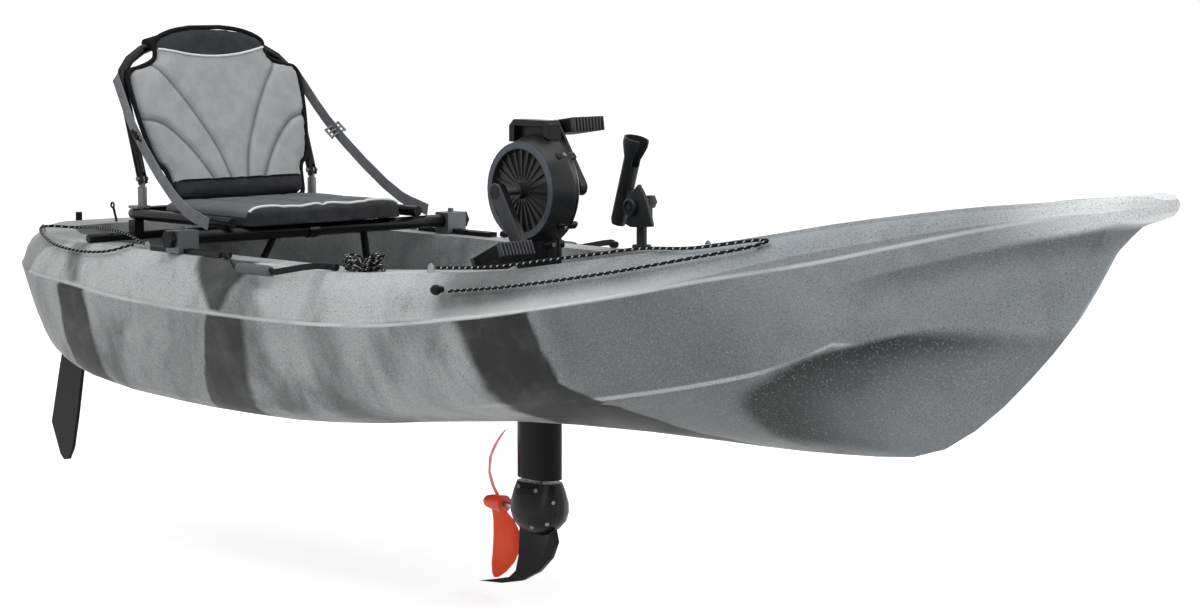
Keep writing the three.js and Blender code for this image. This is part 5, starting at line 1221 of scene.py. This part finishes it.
@dataclass
class HullAndDeck:
    """The hull with its rails, hooks and the deck's cords."""

    edge: float = 0.0025
    bow_route: tuple[Point, ...] = (
        (0.7124, -0.4133, 0.3132), (0.8479, -0.4079, 0.3296), (0.9834, -0.3968, 0.351),
        (1.119, -0.3772, 0.3752), (1.2545, -0.3471, 0.4034), (1.39, -0.3057, 0.4342),
        (1.4065, -0.2931, 0.4425), (1.39, -0.2922, 0.4431), (1.255, -0.3175, 0.4224),
        (1.12, -0.319, 0.4124), (1.0208, -0.3367, 0.3968), (0.9216, -0.3491, 0.3816),
        (0.8224, -0.3578, 0.3659), (0.7232, -0.3632, 0.3544), (0.624, -0.3661, 0.3475))
    stern_route: tuple[Point, ...] = (
        (-0.334, -0.362, 0.3292), (-0.426, -0.342, 0.3434), (-0.612, -0.29, 0.3434),
        (-0.815, -0.222, 0.3292), (-0.835, -0.2894, 0.3337), (-0.66, -0.3769, 0.3111),
        (-0.505, -0.3998, 0.3058), (-0.4195, -0.3966, 0.3123), (-0.354, -0.3783, 0.3292))

    def build(self) -> None:
        """Dresses the hull's solids."""
        eased("hull", HULL, self.edge, 24.0)
        for side in Side:
            eased(f"seat_rail_{side.word}", TUBE, 0.0008)
            eased(f"bow_hook_{side.word}", BLACK, levels=1)
            Cord("stern_cord", self.stern_route, side).build()
            Cord("bow_cord", self.bow_route, side).build()
            eased(f"carry_strap_{side.word}", DARK_WEB, 0.0004)
            eased(f"carry_grip_{side.word}", GRIP, 0.0008)
        eased("stern_loop", BLACK, 0.0004)
        Hank().build()


@dataclass
class PaddedShape:
    """A stuffed cover: swollen by a pressure simulation, then given its channels.

    Attributes:
        node: The CAD solid that it stands for.
        name: The piece's name.
        voxel: Grid of the starting skin.
        pressure: Air pressure of the simulation.
        limit: How far a point may move.
        still: Direction whose faces stay where they are.
        outline: Its outline before it swells.
        stuffing: How far and which way the outline is extruded.
        frames: Length of the simulation.
    """

    node: str
    name: str
    voxel: float = 0.006
    pressure: float = 4.0
    limit: float = 0.007
    still: Vector = field(default_factory=lambda: Vector((0, 0, -1)))
    outline: list[Vector] = field(default_factory=list)
    stuffing: Vector = field(default_factory=Vector)
    frames: int = 20

    def skin(self) -> Piece:
        """The starting skin, a voxel copy of the extruded outline."""
        mesh = meshed(slab(self.outline, self.stuffing), self.name)
        holder = bpy.data.objects.new(self.name, mesh)
        bpy.context.scene.collection.objects.link(holder)
        remesh = holder.modifiers.new("skin", "REMESH")
        remesh.mode = "VOXEL"
        remesh.voxel_size = self.voxel
        self.applied(holder)
        return holder

    def applied(self, holder: Piece) -> None:
        """Puts the evaluated mesh in place of the object's own."""
        bpy.context.view_layer.update()
        graph = bpy.context.evaluated_depsgraph_get()
        mesh = bpy.data.meshes.new_from_object(holder.evaluated_get(graph))
        holder.modifiers.clear()
        holder.data = mesh

    def swell(self, holder: Piece) -> None:
        """Blows the cover up and keeps each point near its start."""
        before = [v.co.copy() for v in holder.data.vertices]
        normals = [v.normal.copy() for v in holder.data.vertices]
        cloth = holder.modifiers.new("stuffing", "CLOTH")
        cloth.settings.use_pressure = True
        cloth.settings.uniform_pressure_force = self.pressure
        cloth.settings.effector_weights.gravity = 0.0
        cloth.settings.quality = 4
        cloth.point_cache.frame_end = self.frames
        scene = bpy.context.scene
        for step in range(1, self.frames + 1):
            scene.frame_set(step)
        self.applied(holder)
        for vertex, start, normal in zip(holder.data.vertices, before, normals):
            move = vertex.co - start
            room = self.limit * max(0.0, 1.0 - max(0.0, normal.dot(self.still)) * 1.6)
            vertex.co = start + move.normalized() * min(move.length, room) if move.length else start
        scene.frame_set(1)

    def evened(self, shape: Shape, rounds: int) -> None:
        """Moves every point halfway to its neighbours, over and over."""
        for _ in range(rounds):
            bmesh.ops.smooth_vert(shape, verts=shape.verts, factor=0.5, use_axis_x=True, use_axis_y=True,
                                  use_axis_z=True)

    def relax(self, holder: Piece) -> None:
        """Evens the voxel steps out and adds one subdivision."""
        shape = bmesh.new()
        shape.from_mesh(holder.data)
        self.evened(shape, 4)
        bmesh.ops.subdivide_edges(shape, edges=shape.edges, cuts=1, use_grid_fill=True, smooth=0.0)
        self.evened(shape, 2)
        shape.to_mesh(holder.data)
        shape.free()

    def shaped(self, finish: Finish, body: str) -> Piece:
        """The finished cover as a piece.

        Args:
            finish: Its finish.
            body: The body that it rides on.

        Returns:
            The piece, before its channels.
        """
        holder = self.skin()
        self.swell(holder)
        self.relax(holder)
        for polygon in holder.data.polygons:
            polygon.use_smooth = True
        holder.data.materials.clear()
        holder.data.materials.append(finish.material())
        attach(holder, body)
        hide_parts(self.node)
        LOG.info("%s: %d faces", self.name, len(holder.data.polygons))
        return holder


@dataclass
class Seat:
    """The framed seat: its tubes, clamps, padded cover and straps.

    Attributes:
        pivot: Where the back folds.
        lean: How far the back leans from upright.
        channel: Depth of a sewn channel.
        channel_half: Half a channel's width.
        seam_half: Half the width of the painted shade line along a seam.
        rear_gap: From the back's plane to the pad's rear face.
        stuffing: The pad's thickness before it swells.
        near_face: How far out lines near the pad's front face lie.
        strap_width: Width of the back straps. Not used.
        half_outline: Half of the pad's outline, across and up.
        inner_seam: The channel near the middle, across and up.
        outer_seam: The channel outside it.
    """

    pivot: Vector = field(default_factory=lambda: Vector((-0.533, 0.0, 0.452)))
    lean: float = math.radians(19)
    channel: float = 0.0065
    channel_half: float = 0.0075
    seam_half: float = 0.0032
    rear_gap: float = 0.0125
    stuffing: float = 0.024
    near_face: float = 0.03
    strap_width: float = 0.026
    half_outline: Line = (
        (0.04, 0.3335), (0.09, 0.3265), (0.13, 0.3125), (0.148, 0.2985), (0.147, 0.28), (0.153, 0.2635),
        (0.17, 0.253), (0.2, 0.243), (0.222, 0.237), (0.231, 0.222), (0.23, 0.17), (0.221, 0.1),
        (0.208, 0.042), (0.199, 0.022), (0.187, 0.012), (0.181, -0.002), (0.177, -0.03),
        (0.172, -0.056), (0.16, -0.063))
    inner_seam: Line = ((0.164, 0.2475), (0.12, 0.19), (0.077, 0.12), (0.04, 0.045), (0.022, -0.02))
    outer_seam: Line = ((0.218, 0.126), (0.172, 0.11), (0.13, 0.072), (0.094, 0.025), (0.068, -0.02))

    @property
    def up(self) -> Vector:
        """Direction up the back."""
        return Vector((-math.sin(self.lean), 0, math.cos(self.lean)))

    @property
    def out(self) -> Vector:
        """Direction out of the back's front face."""
        return Vector((math.cos(self.lean), 0, math.sin(self.lean)))

    def on_pad(self, y: float, h: float, deep: float = 0.0) -> Vector:
        """A place on the pad, across, up and out from the back's plane."""
        return self.pivot + Vector((0, y, 0)) + self.up * h + self.out * deep

    def on_face(self, y: float, h: float) -> Vector:
        """A place near the pad's front face, across and up."""
        return self.on_pad(y, h, self.near_face)

    def outline(self, deep: float) -> list[Vector]:
        """The pad's whole outline at a depth."""
        right = [self.on_pad(-y, h, deep) for y, h in self.half_outline]
        left = [self.on_pad(y, h, deep) for y, h in reversed(self.half_outline)]
        return right + left

    def groove(self, pad: Piece, lines: list[list[Vector]], towards: Vector) -> None:
        """Presses sewn channels into a pad along lines, and marks their seams for a painted shade line.

        Args:
            pad: The padded piece.
            lines: The channels' lines near its face.
            towards: The direction that they are pressed in.
        """
        tree = KDTree(sum(len(line) for line in lines))
        for index, place in enumerate(p for line in lines for p in line):
            tree.insert(place - towards * place.dot(towards), index)
        tree.balance()
        seam = pad.data.attributes.new("seam", "FLOAT", "POINT")
        for vertex in pad.data.vertices:
            if vertex.normal.dot(towards) > -0.25:
                continue
            flat = tree.find(vertex.co - towards * vertex.co.dot(towards))[2]
            if flat < self.channel_half * 2.5:
                vertex.co += towards * self.channel * math.exp(-((flat / self.channel_half) ** 2))
                seam.data[vertex.index].value = math.exp(-((flat / self.seam_half) ** 2))

    def piping(self, name: str, pad: Piece, line: list[Vector], towards: Vector, radius: float,
               finish: Finish, body: str) -> None:
        """Lays a cord of piping on a pad along a line.

        Args:
            name: The piece's name.
            pad: The padded piece.
            line: The line, near the pad's face.
            towards: The direction into the pad.
            radius: The piping's radius.
            finish: Its finish.
            body: The body that it rides on.
        """
        shape = bmesh.new()
        shape.from_mesh(pad.data)
        tree = BVHTree.FromBMesh(shape)
        shape.free()
        hits = [tree.ray_cast(place - towards * 0.12, towards, 0.3)[0] for place in line]
        laid = [hit - towards * radius * 0.5 for hit in hits if hit]
        if len(laid) > 2:
            tube(name, laid, radius, finish, body)

    def sleeve(self) -> None:
        """The dark sleeve of the cover that wraps the frame's arch."""
        line = [self.on_pad(y, 0.321 - 0.9 * y * y) for y in spread(0.148, 32)]
        tube("arch_sleeve", line, 0.0155, BINDING, "seat_back", sides=6)

    def back(self) -> None:
        """The back's pad with its fan of channels, piping and binding."""
        pad = PaddedShape("back_pad", "back_cushion", voxel=0.0055, still=-self.out, limit=0.007,
                          outline=self.outline(self.rear_gap), stuffing=self.out * self.stuffing)
        cover = pad.shaped(BACK_CLOTH, "seat_back")
        seams = []
        for sign in (-1, 1):
            for line in (self.inner_seam, self.outer_seam):
                seams.append(curved([self.on_face(sign * y, h) for y, h in line], 16))
        self.groove(cover, seams, -self.out)
        cloth = BACK_CLOTH
        top = [self.on_face(y, cloth.top_seam + cloth.top_bow * y * y) for y in spread(0.142, 30)]
        self.piping("top_piping", cover, top, -self.out, 0.0026, PIPING, "seat_back")
        hem = [self.on_face(y, cloth.hem) for y in spread(0.172, 20)]
        self.piping("lower_seam", cover, hem, -self.out, 0.002, BINDING, "seat_back")
        rim = curved(self.outline(self.rear_gap + self.stuffing * 0.55), 4)
        tube("back_binding", rim, 0.0052, BINDING, "seat_back", closed=True)
        self.sleeve()

    def base(self) -> None:
        """The seat's cushion with its lobed front edge."""
        low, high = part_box("seat_cushion")
        inset = 0.004
        corner = 0.03
        x0, x1, y1 = low.x + inset, high.x - inset, high.y - inset
        ring = [(x0 + corner, -y1), (x1 - corner, -y1), (x1 - 0.008, -y1 + 0.01), (x1, -y1 + corner)]
        ring += [(x1 + 0.003 * math.cos(4.5 * math.pi * y), y) for y in (-0.12, -0.06, 0.0, 0.06, 0.12)]
        ring += [(x1, y1 - corner), (x1 - 0.008, y1 - 0.01), (x1 - corner, y1), (x0 + corner, y1)]
        ring += [(x0, y1 - corner), (x0, -y1 + corner)]
        outline = [Vector((x, y, low.z + 0.0006)) for x, y in ring]
        pad = PaddedShape("seat_cushion", "seat_pad", limit=0.006, outline=outline,
                          stuffing=Vector((0, 0, 0.034)))
        cover = pad.shaped(SEAT_CLOTH, "seat")
        down = Vector((0, 0, -1))
        start, length, above = x0 + corner, x1 - x0 - 2 * corner, 0.4
        channels = [[Vector((start + length * k / 24, y, above)) for k in range(25)]
                    for y in (-0.105, 0.0, 0.105)]
        self.groove(cover, channels, down)
        front = [Vector((x1 - 0.022 - 0.004 * math.cos(6 * math.pi * y / 0.42), y, above))
                 for y in spread(0.2, 40)]
        self.piping("cushion_piping", cover, front, down, 0.003, PIPING, "seat")

    def buckle(self, side: Side) -> None:
        """A ladder buckle on the strap: two cheeks and three bars."""
        low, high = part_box(f"strap_buckle_{side.word}")
        middle = (low + high) / 2
        ahead = Vector((0.4215, 0.054 * side.value, -0.3157)).normalized()
        face = Vector((0.5, side.value * -0.55, 0.67))
        across = ahead.cross(face).normalized()
        face = across.cross(ahead)
        turn = Matrix((ahead, across, face)).transposed().to_4x4()
        shape = bmesh.new()
        bars = [((k * 0.0125, 0, 0.0022), (0.0045, 0.034, 0.0042)) for k in (-1, 0, 1)]
        cheeks = [((0, k * 0.0175, 0.001), (0.031, 0.0042, 0.0072)) for k in (-1, 1)]
        for place, size in bars + cheeks:
            block(shape, Matrix.Translation(place), size, 0.0009, 2)
        bmesh.ops.transform(shape, matrix=Matrix.Translation(middle) @ turn, verts=shape.verts)
        finish = BLACK if side is Side.RIGHT else CASTING
        node = f"strap_buckle_{side.word}"
        piece = made_of(shape, f"ladder_buckle_{side.word}", finish, "seat")
        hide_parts(node)

    def build(self) -> None:
        """Dresses the seat."""
        for node in ("seat_front_bar", "seat_rear_bar", "seat_base_frame", "back_frame"):
            eased(node, TUBE, 0.0008, 50.0)
        for side in Side:
            eased(f"seat_clamp_{side.word}", CASTING, 0.0012)
            eased(f"clamp_knob_{side.word}", BLACK, 0.001)
            eased(f"back_hinge_{side.word}", FERRULE, 0.0008)
            strap = eased(f"back_strap_{side.word}", WEB, 0.0005)
            self.buckle(side)
        self.back()
        self.base()


@dataclass
class PedalDrive:
    """The drive above and below the hull.

    Attributes:
        axle: The crank axle's middle.
        arm_reach: From the axle to a pedal's spindle.
        arm_place: From the axle to the right pedal's spindle, along and up.
        arm_face_y: How far out the arms' outer faces start.
        gearbox_screws: The gearbox's screws, in pixels of the photograph.
        rim_lugs: The lugs on the housing's rim, likewise.
        slats: Slats to a pedal.
    """

    axle: Vector = field(default_factory=lambda: Vector((0.5, 0.0, 0.47)))
    arm_reach: float = 0.14
    arm_place: Vector = field(default_factory=lambda: Vector((0.076249, 0.0, -0.117414)))
    arm_face_y: float = 0.1102
    gearbox_screws: Line = ((519, 486), (536, 491), (553, 503), (547, 524), (532, 527))
    rim_lugs: Line = ((556, 157), (559, 226), (547, 245))
    slats: int = 10

    def screws(self, node: str, name: str, pixels: Line, head: float) -> None:
        """Socket screws where the photograph shows them on a solid."""
        shape = bmesh.new()
        profile = ((0.0, 0.0012), (head * 0.45, 0.0012), (head * 0.5, 0.0026), (head * 0.9, 0.0026),
                   (head, 0.0018), (head, -0.002), (0.0, -0.002))
        for pixel in pixels:
            turned(shape, profile, turned_to(*View().on(node, pixel)), 20)
        made_of(shape, name, STEEL_DARK, frame["nodes"][node]["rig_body"])

    def lugs(self) -> None:
        """The bolted lugs across the housing's rim, each with its screw."""
        shape, bolts = bmesh.new(), bmesh.new()
        profile = ((0.0, 0.0012), (0.0022, 0.0012), (0.0026, 0.0026), (0.0042, 0.0026), (0.0046, -0.001),
                   (0.0, -0.001))
        for pixel in self.rim_lugs:
            hit, normal = View().on("housing_right", pixel)
            radial = Vector((normal.x, 0, normal.z)).normalized()
            axes = Matrix((Vector((0, 1, 0)).cross(radial), Vector((0, 1, 0)), radial)).transposed()
            turn = Matrix.Translation((hit.x, 0, hit.z)) @ axes.to_4x4()
            block(shape, turn, (0.016, 0.05, 0.011), 0.0045)
            turned(bolts, profile, turn @ Matrix.Translation((0, -0.008, 0.0052)), 20)
        made_of(shape, "rim_lugs", DRIVE_BLACK, "drive")
        made_of(bolts, "rim_screws", STEEL_DARK, "drive")

    def handle_web(self) -> None:
        """The closed web inside the carrying handle."""
        low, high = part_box("drive_handle")
        middle = (low + high) / 2
        shape = bmesh.new()
        size = (high.x - low.x - 0.03, 0.007, high.z - low.z - 0.012)
        block(shape, Matrix.Translation(middle - Vector((0, 0, 0.004))), size, 0.0015)
        made_of(shape, "handle_web", DRIVE_BLACK, "drive")

    def grille(self, side: Side) -> None:
        """Slats that stand proud all round a pedal."""
        node = f"pedal_{side.word}"
        mesh = merged(node)
        widest = max((face for face in mesh.polygons if face.normal.z > 0.8), key=lambda face: face.area)
        across, normal = Vector((0, 1, 0)), widest.normal.copy()
        axes = (across.cross(normal).normalized(), across, normal)
        spans = [[v.co.dot(axis) for v in mesh.vertices] for axis in axes]
        bpy.data.meshes.remove(mesh)
        sizes = [max(span) - min(span) for span in spans]
        middle = sum((axis * (min(span) + max(span)) / 2 for axis, span in zip(axes, spans)), Vector())
        turn = Matrix.Translation(middle) @ Matrix(axes).transposed().to_4x4()
        shape = bmesh.new()
        pitch = (sizes[1] - 0.008) / (self.slats - 1)
        for k in range(self.slats):
            y = pitch * (k - (self.slats - 1) / 2)
            place = turn @ Matrix.Translation((0, y, 0))
            block(shape, place, (sizes[0] + 0.004, 0.0034, sizes[2] + 0.005), 0.0012)
        made_of(shape, f"pedal_slats_{side.word}", PEDAL_TREAD, frame["nodes"][node]["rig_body"])

    def arm_face(self, side: Side) -> None:
        """The crank arm's broad outer face, with round ends, laid into the arm."""
        sign = -side.value
        start = self.axle + Vector((0, -sign * self.arm_face_y, 0))
        ahead = (self.arm_place * sign).normalized()
        across = Vector((-ahead.z, 0, ahead.x))
        ring = []
        for end, radius in ((0.0, 0.0175), (self.arm_reach, 0.0145)):
            middle = start + ahead * end
            for k in range(13):
                angle = math.pi * (k / 12 + (0.5 if end == 0.0 else -0.5))
                ring.append(middle + ahead * radius * math.cos(angle) + across * radius * math.sin(angle))
        shape = slab(ring, Vector((0, side.value * 0.006, 0)), 0.0028, 4)
        made_of(shape, f"arm_face_{side.word}", ARM, "crank")

    def build(self) -> None:
        """Dresses the drive's solids."""
        eased("housing_right", HOUSING, 0.0012, 30.0)
        for node in ("housing_left", "drive_handle", "drive_base", "base_screw", "gearbox_right",
                     "gearbox_left"):
            eased(node, DRIVE_BLACK, 0.0012, 30.0)
        eased("leg_tube", LEG, 0.0012, 30.0)
        eased("drive_fin", BLADE_BLACK, 0.002)
        for side in Side:
            eased(f"crank_arm_{side.word}", DRIVE_BLACK, 0.0012)
            eased(f"pedal_{side.word}", BLACK, 0.001)
            self.arm_face(side)
            self.grille(side)
        self.lugs()
        self.handle_web()
        self.screws("gearbox_right", "gearbox_screws", self.gearbox_screws, 0.0042)
        for node in ("crank_axle", "crown_gear", "drive_shaft", "lower_gear", "prop_shaft"):
            eased(node, STEEL, 0.0002)
        eased("propeller", RED, 0.0005, 50.0)
        eased("prop_nut", RED, 0.0005)


@dataclass
class Rudder:
    """The rudder on its stern bracket."""

    def build(self) -> None:
        """Dresses the rudder's solids."""
        for node in ("rudder_bracket", "rudder_stock", "rudder_tiller"):
            eased(node, BLACK, 0.001)
        eased("rudder_blade", BLADE_BLACK, 0.002)
        eased("rudder_pin", STEEL, 0.0005)


@dataclass
class RodHolder:
    """The rod holder on the left rim.

    Attributes:
        cheek: Outline of the cheek plate, along and up.
        cheek_y: Where the plate's near face lies.
        cheek_thick: The plate's thickness.
        boss: The clamping boss's middle.
    """

    cheek: Line = (
        (0.442, 0.463), (0.456, 0.446), (0.467, 0.426), (0.477, 0.4), (0.484, 0.377), (0.45, 0.3735),
        (0.418, 0.3725), (0.402, 0.379), (0.412, 0.397), (0.398, 0.409), (0.403, 0.428), (0.418, 0.441),
        (0.433, 0.454))
    cheek_y: float = 0.324
    cheek_thick: float = 0.01
    boss: Point = (0.4237, 0.324, 0.4143)

    def cheek_plate(self) -> None:
        """The ribbed cheek that holds the cradle, with its round clamping boss."""
        outline = [Vector((x, self.cheek_y, z)) for x, z in self.cheek]
        shape = slab(outline, Vector((0, self.cheek_thick, 0)), 0.0025)
        body = frame["nodes"]["holder_knuckle"]["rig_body"]
        made_of(shape, "holder_cheek", HOLDER_BLACK, body)
        knob = bmesh.new()
        profile = ((0.0, 0.0085), (0.007, 0.0085), (0.008, 0.0065), (0.011, 0.0065), (0.012, 0.0095),
                   (0.016, 0.0095), (0.0175, 0.008), (0.0185, 0.003), (0.0185, -0.002), (0.0, -0.002))
        turned(knob, profile, turned_to(Vector(self.boss), Vector((0, -1, 0))), 36)
        made_of(knob, "holder_boss", HOLDER_BLACK, body)

    def build(self) -> None:
        """Dresses the holder's solids."""
        self.cheek_plate()
        for node in ("holder_base", "holder_knuckle", "rod_cradle", "holder_knob"):
            eased(node, HOLDER_BLACK, 0.001)


@dataclass
class Studio:
    """The camera, the lights, the backdrop and the floor."""

    view: View = View()
    floor_z: float = -0.36

    def camera(self) -> None:
        """The camera at the photograph's place."""
        data = bpy.data.cameras.new("photo_camera")
        data.sensor_fit = "HORIZONTAL"
        data.sensor_width = 36.0
        data.lens = self.view.focus / self.view.size[0] * data.sensor_width
        data.clip_end = 200.0
        holder = bpy.data.objects.new("photo_camera", data)
        right, up, forward = self.view.axes()
        turn = Matrix((right, up, -forward)).transposed().to_4x4()
        holder.matrix_world = Matrix.Translation(self.view.eye) @ turn
        bpy.context.scene.collection.objects.link(holder)
        bpy.context.scene.camera = holder

    def lamp(self, name: str, place: Point, aim: Point, size: tuple[float, float], power: float) -> None:
        """Adds a soft lamp, so wide and so tall, that faces a point."""
        data = bpy.data.lights.new(name, "AREA")
        data.shape = "RECTANGLE"
        data.size, data.size_y = size
        data.energy = power
        holder = bpy.data.objects.new(name, data)
        holder.location = place
        holder.rotation_euler = (Vector(aim) - Vector(place)).to_track_quat("-Z", "Y").to_euler()
        bpy.context.scene.collection.objects.link(holder)

    def world(self) -> None:
        """A plain world that shows white behind the boat."""
        world = bpy.data.worlds.new("studio")
        world.use_nodes = True
        graph = Graph(world.node_tree)
        world.node_tree.nodes.clear()
        rays = graph.add("LightPath")
        shown = graph.strongest(rays.outputs["Is Camera Ray"], rays.outputs["Is Transmission Ray"],
                                rays.outputs["Is Glossy Ray"])
        mixed = graph.add("MixShader")
        graph.feed(mixed.inputs[0], shown)
        for index, strength in ((1, 0.55), (2, 1.0)):
            light = graph.add("Background")
            light.inputs["Color"].default_value = (1, 1, 1, 1)
            light.inputs["Strength"].default_value = strength
            graph.feed(mixed.inputs[index], light.outputs[0])
        graph.feed(graph.add("OutputWorld").inputs[0], mixed.outputs[0])
        bpy.context.scene.world = world

    def floor(self) -> None:
        """A wide pale floor under the lowest point."""
        shape = bmesh.new()
        bmesh.ops.create_grid(shape, x_segments=4, y_segments=4, size=60.0)
        bmesh.ops.translate(shape, verts=shape.verts, vec=(0, 0, self.floor_z))
        mesh = meshed(shape, "floor")
        made = bpy.data.materials.new("floor_white")
        made.use_nodes = True
        graph = Graph(made.node_tree)
        shader = made.node_tree.nodes["Principled BSDF"]
        shader.inputs["Base Color"].default_value = (0.9, 0.9, 0.9, 1)
        shader.inputs["Roughness"].default_value = 0.9
        shader.inputs["Specular IOR Level"].default_value = 0.1
        shader.inputs["Emission Color"].default_value = (1, 1, 1, 1)
        rays = graph.add("LightPath")
        seen = graph.math("MAXIMUM", rays.outputs["Is Camera Ray"], rays.outputs["Is Glossy Ray"])
        graph.feed(shader.inputs["Emission Strength"], graph.math("MULTIPLY", seen, 0.62))
        mesh.materials.append(made)
        holder = bpy.data.objects.new("floor", mesh)
        bpy.context.scene.collection.objects.link(holder)

    def build(self) -> None:
        """Sets the whole studio."""
        self.camera()
        self.world()
        self.floor()
        self.lamp("top_light", (0.6, -0.8, 3.4), (0.4, 0.0, 0.2), (4.0, 4.0), 90.0)
        self.lamp("camera_fill", (4.5, -5.5, 2.2), (0.4, -0.2, 0.2), (3.0, 3.0), 50.0)
        self.lamp("rim_strip", (3.1, 3.0, 2.3), (0.5, 0.0, 0.4), (0.3, 2.6), 45.0)
        bpy.context.scene.view_settings.view_transform = "Standard"


def main() -> None:
    """Builds the studio and each sub-assembly."""
    logging.basicConfig(level=logging.INFO, format="%(name)s: %(message)s")
    for part in (Studio(), HullAndDeck(), Seat(), PedalDrive(), Rudder(), RodHolder()):
        LOG.info("building %s", type(part).__name__)
        part.build()


if __name__ == "__main__":
    main()
